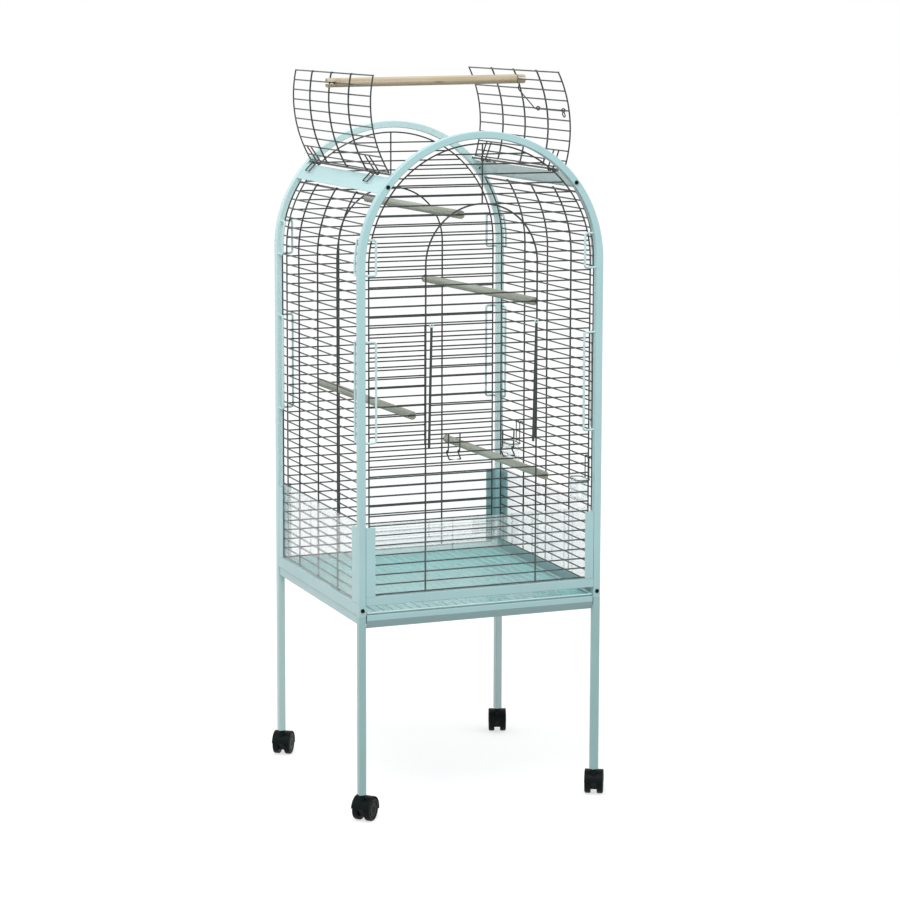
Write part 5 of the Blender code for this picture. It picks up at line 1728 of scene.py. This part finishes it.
@dataclass
class Caster:
    """A twin-wheel caster: hood with its web and boss, and two wheels on one axle.

    The face is the profile of a wheel's outer side, as radius and depth in millimetres.
    """

    cage: Cage
    side: Side
    end: End
    swivel: float
    wheel: float = 0.050
    width: float = 0.0135
    track: float = 0.0275
    trail: float = 0.016
    axle: float = 0.006
    gap: float = 0.0012
    wall: float = 0.0024
    hood_corner: float = 0.0016
    web_room: float = 0.0003
    boss: float = 0.013
    boss_length: float = 0.022
    boss_ease: float = 0.0006
    pole: float = 0.00005
    web_foot: float = 0.013
    web_drop: float = 0.0135
    fender_from: float = math.radians(-10.0)
    fender_to: float = math.radians(170.0)
    tread_edge: float = 0.003
    tread_ease: float = 0.0009
    tread_inner: tuple = (0.0012, 0.0015)
    face: tuple = ((0.05, 0.9), (3.4, 0.9), (4.2, 1.6), (5.4, 1.6), (6.4, 0.4), (15.5, 0.4),
                   (16.5, 1.5), (18.0, 1.5), (19.0, 0.0))

    def place(self, x: object, y: object, z: object) -> Array:
        """Turns points from the caster's own axes to where it stands."""
        foot = self.cage.at(self.side.value * self.cage.post, self.end.value * self.cage.post, 0)
        return turned(stacked(x, y, z), 2, self.swivel) + foot

    def hood(self) -> Surface:
        """Gives the hood: a crowned arc over both wheels, a web between them and the boss.

        The arc's section is (w, r), carried round the axle as (r cos a, w, r sin a).

        Returns:
            Its surface.
        """
        radius = self.wheel / 2
        inner = radius + self.gap
        outer = inner + self.wall
        half = (self.track + self.width) / 2
        section = bend_path([(-half, inner), (half, inner), (half, outer), (-half, outer)],
                            self.hood_corner, 4, closed=True)
        turns = np.linspace(self.fender_from, self.fender_to, 40)[:, None]
        shell = self.place(self.trail + section[:, 1] * np.cos(turns), section[:, 0],
                           radius + section[:, 1] * np.sin(turns))
        low = radius - self.web_drop
        outline = np.concatenate([
            arc((inner + outer) / 2, np.linspace(self.fender_from, self.fender_to, 32))
            + (self.trail, radius),
            [(self.trail - self.web_foot, low), (self.trail + self.web_foot, low)]])
        web = (self.track - self.width) / 2 - self.web_room
        flat = self.place(outline[:, 0], np.array([[-web], [web]]), outline[:, 1])
        top, side, ease = self.cage.leg_bottom - self.cage.clear, self.boss / 2, self.boss_ease
        low = top - self.boss_length
        boss = revolve([(self.pole, top), (side - ease, top), (side, top - ease), (side, low),
                        (self.pole, low)], 36)
        return Surface().add(shell).add(flat).add(self.place(*np.moveaxis(boss, -1, 0)))

    def wheels(self) -> Surface:
        """Gives the wheels: a profile of radius and width turned round the axle.

        Returns:
            Their surface.
        """
        radius = self.wheel / 2
        far, near = (self.track + self.width) / 2, (self.track - self.width) / 2
        half = [(r * MM, far - deep * MM) for r, deep in self.face]
        edge, ease = self.tread_edge, self.tread_ease
        fall, back = self.tread_inner
        half += [(radius - edge, far), (radius - ease, far - ease), (radius, far - edge),
                 (radius, near + back), (radius - fall, near), (self.axle / 2, near)]
        x, z, y = np.moveaxis(revolve(half + [(r, -w) for r, w in half[::-1]], 64), -1, 0)
        return Surface().add(self.place(x + self.trail, y, z + radius))

    def build(self) -> None:
        """Builds hood and wheels in place of their nodes."""
        name = f"caster_{self.end.word}_{self.side.word}"
        self.hood().build(name + "_shell", [BLACK_PLASTIC], name + "_hood", name + "_fork",
                          weighted=True)
        self.wheels().build(name + "_tyres", [TREAD_PLASTIC], name + "_wheels", name + "_wheels")


@dataclass
class Studio:
    """Floor, light and the camera at the photograph's angle.

    Each lamp has a name, a place, the point that it faces, a size and a power.
    """

    eye: tuple = (-2.1438, -5.1366, 1.7311)
    yaw: float = math.radians(21.13)
    pitch: float = math.radians(7.56)
    roll: float = math.radians(-0.04)
    lens: float = 105.96
    shift: tuple = (0.0408, -0.1054)
    reach: float = 30.0
    pale: float = 0.55
    glow: float = 0.65
    fill: float = 0.67
    lamps: tuple = (("key", (-1.6, -1.8, 4.4), (0, 0, 0.9), 2.2, 80.0),
                    ("fill", (3.4, -1.6, 2.2), (0, 0, 0.8), 2.4, 14.0))

    def combine(self, tree: bpy.types.NodeTree, way: str, first: Socket, second: object) -> Socket:
        """Adds a Math node.

        Args:
            tree: The nodes that it joins.
            way: The node's operation.
            first: The first output.
            second: A number, or the second output.

        Returns:
            The node's output.
        """
        made = tree.nodes.new("ShaderNodeMath")
        made.operation = way
        tree.links.new(first, made.inputs[0])
        if isinstance(second, float):
            made.inputs[1].default_value = second
        else:
            tree.links.new(second, made.inputs[1])
        return made.outputs[0]

    def seen(self, tree: bpy.types.NodeTree, strength: float) -> Socket:
        """Gives a strength for camera, glossy and transmission rays, and 0 for the others.

        Args:
            tree: The nodes that the rays are told apart in.
            strength: The strength.

        Returns:
            The output that carries it.
        """
        rays = tree.nodes.new("ShaderNodeLightPath").outputs
        total = rays["Is Camera Ray"]
        for name in ("Is Glossy Ray", "Is Transmission Ray"):
            total = self.combine(tree, "MAXIMUM", total, rays[name])
        return self.combine(tree, "MULTIPLY", total, strength)

    def floor(self) -> None:
        """Makes a pale floor that shows the object's soft shadow.

        Seen directly or through glass it adds a glow, so that it turns white away from the
        shadow.
        """
        mesh = bpy.data.meshes.new("studio_floor")
        square = [(-1, -1, 0), (1, -1, 0), (1, 1, 0), (-1, 1, 0)]
        mesh.from_pydata(self.reach * np.array(square), [], [(0, 1, 2, 3)])
        floor = bpy.data.objects.new("studio_floor", mesh)
        bpy.context.scene.collection.objects.link(floor)
        made = bpy.data.materials.new("pale_floor")
        made.use_nodes = True
        tree = made.node_tree
        shader = tree.nodes["Principled BSDF"]
        shader.inputs["Base Color"].default_value = (self.pale, self.pale, self.pale, 1)
        shader.inputs["Roughness"].default_value = 0.9
        shader.inputs["Specular IOR Level"].default_value = 0.0
        glow = tree.nodes.new("ShaderNodeEmission")
        add = tree.nodes.new("ShaderNodeAddShader")
        tree.links.new(self.seen(tree, self.glow), glow.inputs["Strength"])
        tree.links.new(shader.outputs[0], add.inputs[0])
        tree.links.new(glow.outputs[0], add.inputs[1])
        tree.links.new(add.outputs[0], tree.nodes["Material Output"].inputs["Surface"])
        mesh.materials.append(made)
        floor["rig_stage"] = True

    def world(self) -> None:
        """Makes an even white surround that lights the object softly, at a share of white."""
        world = bpy.data.worlds.new("studio_world")
        bpy.context.scene.world = world
        world.use_nodes = True
        tree = world.node_tree
        back = tree.nodes["Background"].inputs
        back["Color"].default_value = (1, 1, 1, 1)
        light = self.combine(tree, "MAXIMUM", self.seen(tree, 1.0), self.fill)
        tree.links.new(light, back["Strength"])

    def lamp(self, name: str, place: tuple, aim: tuple, size: float, power: float) -> None:
        """Adds a square soft lamp.

        Args:
            name: The lamp's name.
            place: Where it hangs.
            aim: The point that it faces.
            size: Its side.
            power: Its power in watts.
        """
        light = bpy.data.lights.new(name, "AREA")
        light.size = size
        light.energy = power
        lamp = bpy.data.objects.new(name, light)
        bpy.context.scene.collection.objects.link(lamp)
        back = unit(np.subtract(place, aim))
        across = unit(np.cross(Z_AXIS, back))
        matrix = np.eye(4)
        matrix[:3] = np.stack([across, np.cross(back, across), back, place], -1)
        lamp.matrix_world = matrix.T.tolist()

    def camera(self, cage: Cage) -> None:
        """Makes the camera.

        Args:
            cage: The cage, from whose front face the camera's place was measured.
        """
        data = bpy.data.cameras.new("photo_camera")
        data.sensor_width = 36.0
        data.lens = self.lens
        data.shift_x, data.shift_y = self.shift
        data.clip_end = 100.0
        camera = bpy.data.objects.new("photo_camera", data)
        bpy.context.scene.collection.objects.link(camera)
        camera.location = cage.at(*self.eye) - cage.half * Y_AXIS
        camera.rotation_euler = (math.pi / 2 - self.pitch, self.roll, -self.yaw)
        bpy.context.scene.camera = camera

    def build(self, cage: Cage) -> None:
        """Builds camera, floor and light.

        Args:
            cage: The cage that they are set up for.
        """
        bpy.context.scene.view_settings.view_transform = "Standard"
        self.camera(cage)
        self.floor()
        self.world()
        for lamp in self.lamps:
            self.lamp(*lamp)


SWIVELS = ((Side.LEFT, End.FRONT, 44.0), (Side.RIGHT, End.FRONT, 62.0),
           (Side.LEFT, End.REAR, 56.0), (Side.RIGHT, End.REAR, 69.0))
DOOR_ROWS = (15, 27)


def main() -> None:
    """Builds the cage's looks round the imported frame."""
    logging.basicConfig(level=logging.INFO, format="%(name)s: %(message)s")
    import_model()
    low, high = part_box("front_arch")
    rear_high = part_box("rear_arch")[1]
    cage = Cage((low.x + high.x) / 2, (low.y + rear_high.y) / 2)
    LOG.info("cage centre %.4f %.4f", cage.centre_x, cage.centre_y)
    Studio().build(cage)
    for end in End:
        ArchFrame(cage, end).build()
    EndGrille(cage, End.FRONT, DOOR_ROWS).build()
    EndGrille(cage, End.REAR).build()
    for side in Side:
        SideGrille(cage, side).build()
    roof = Roof(cage)
    for part in (Legs(cage), SheetWork(cage), FrontDoor(cage, *DOOR_ROWS), roof,
                 Perches(cage, roof), Floor(cage), Cups(cage), Bolts(cage, roof)):
        part.build()
    for side, end, swivel in SWIVELS:
        Caster(cage, side, end, math.radians(swivel)).build()
    plated = ZINC.material()
    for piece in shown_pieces():
        node = piece.get("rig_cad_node")
        if node and node.endswith("_stem"):
            piece.data.materials.clear()
            piece.data.materials.append(plated)


if __name__ == "__main__":
    main()
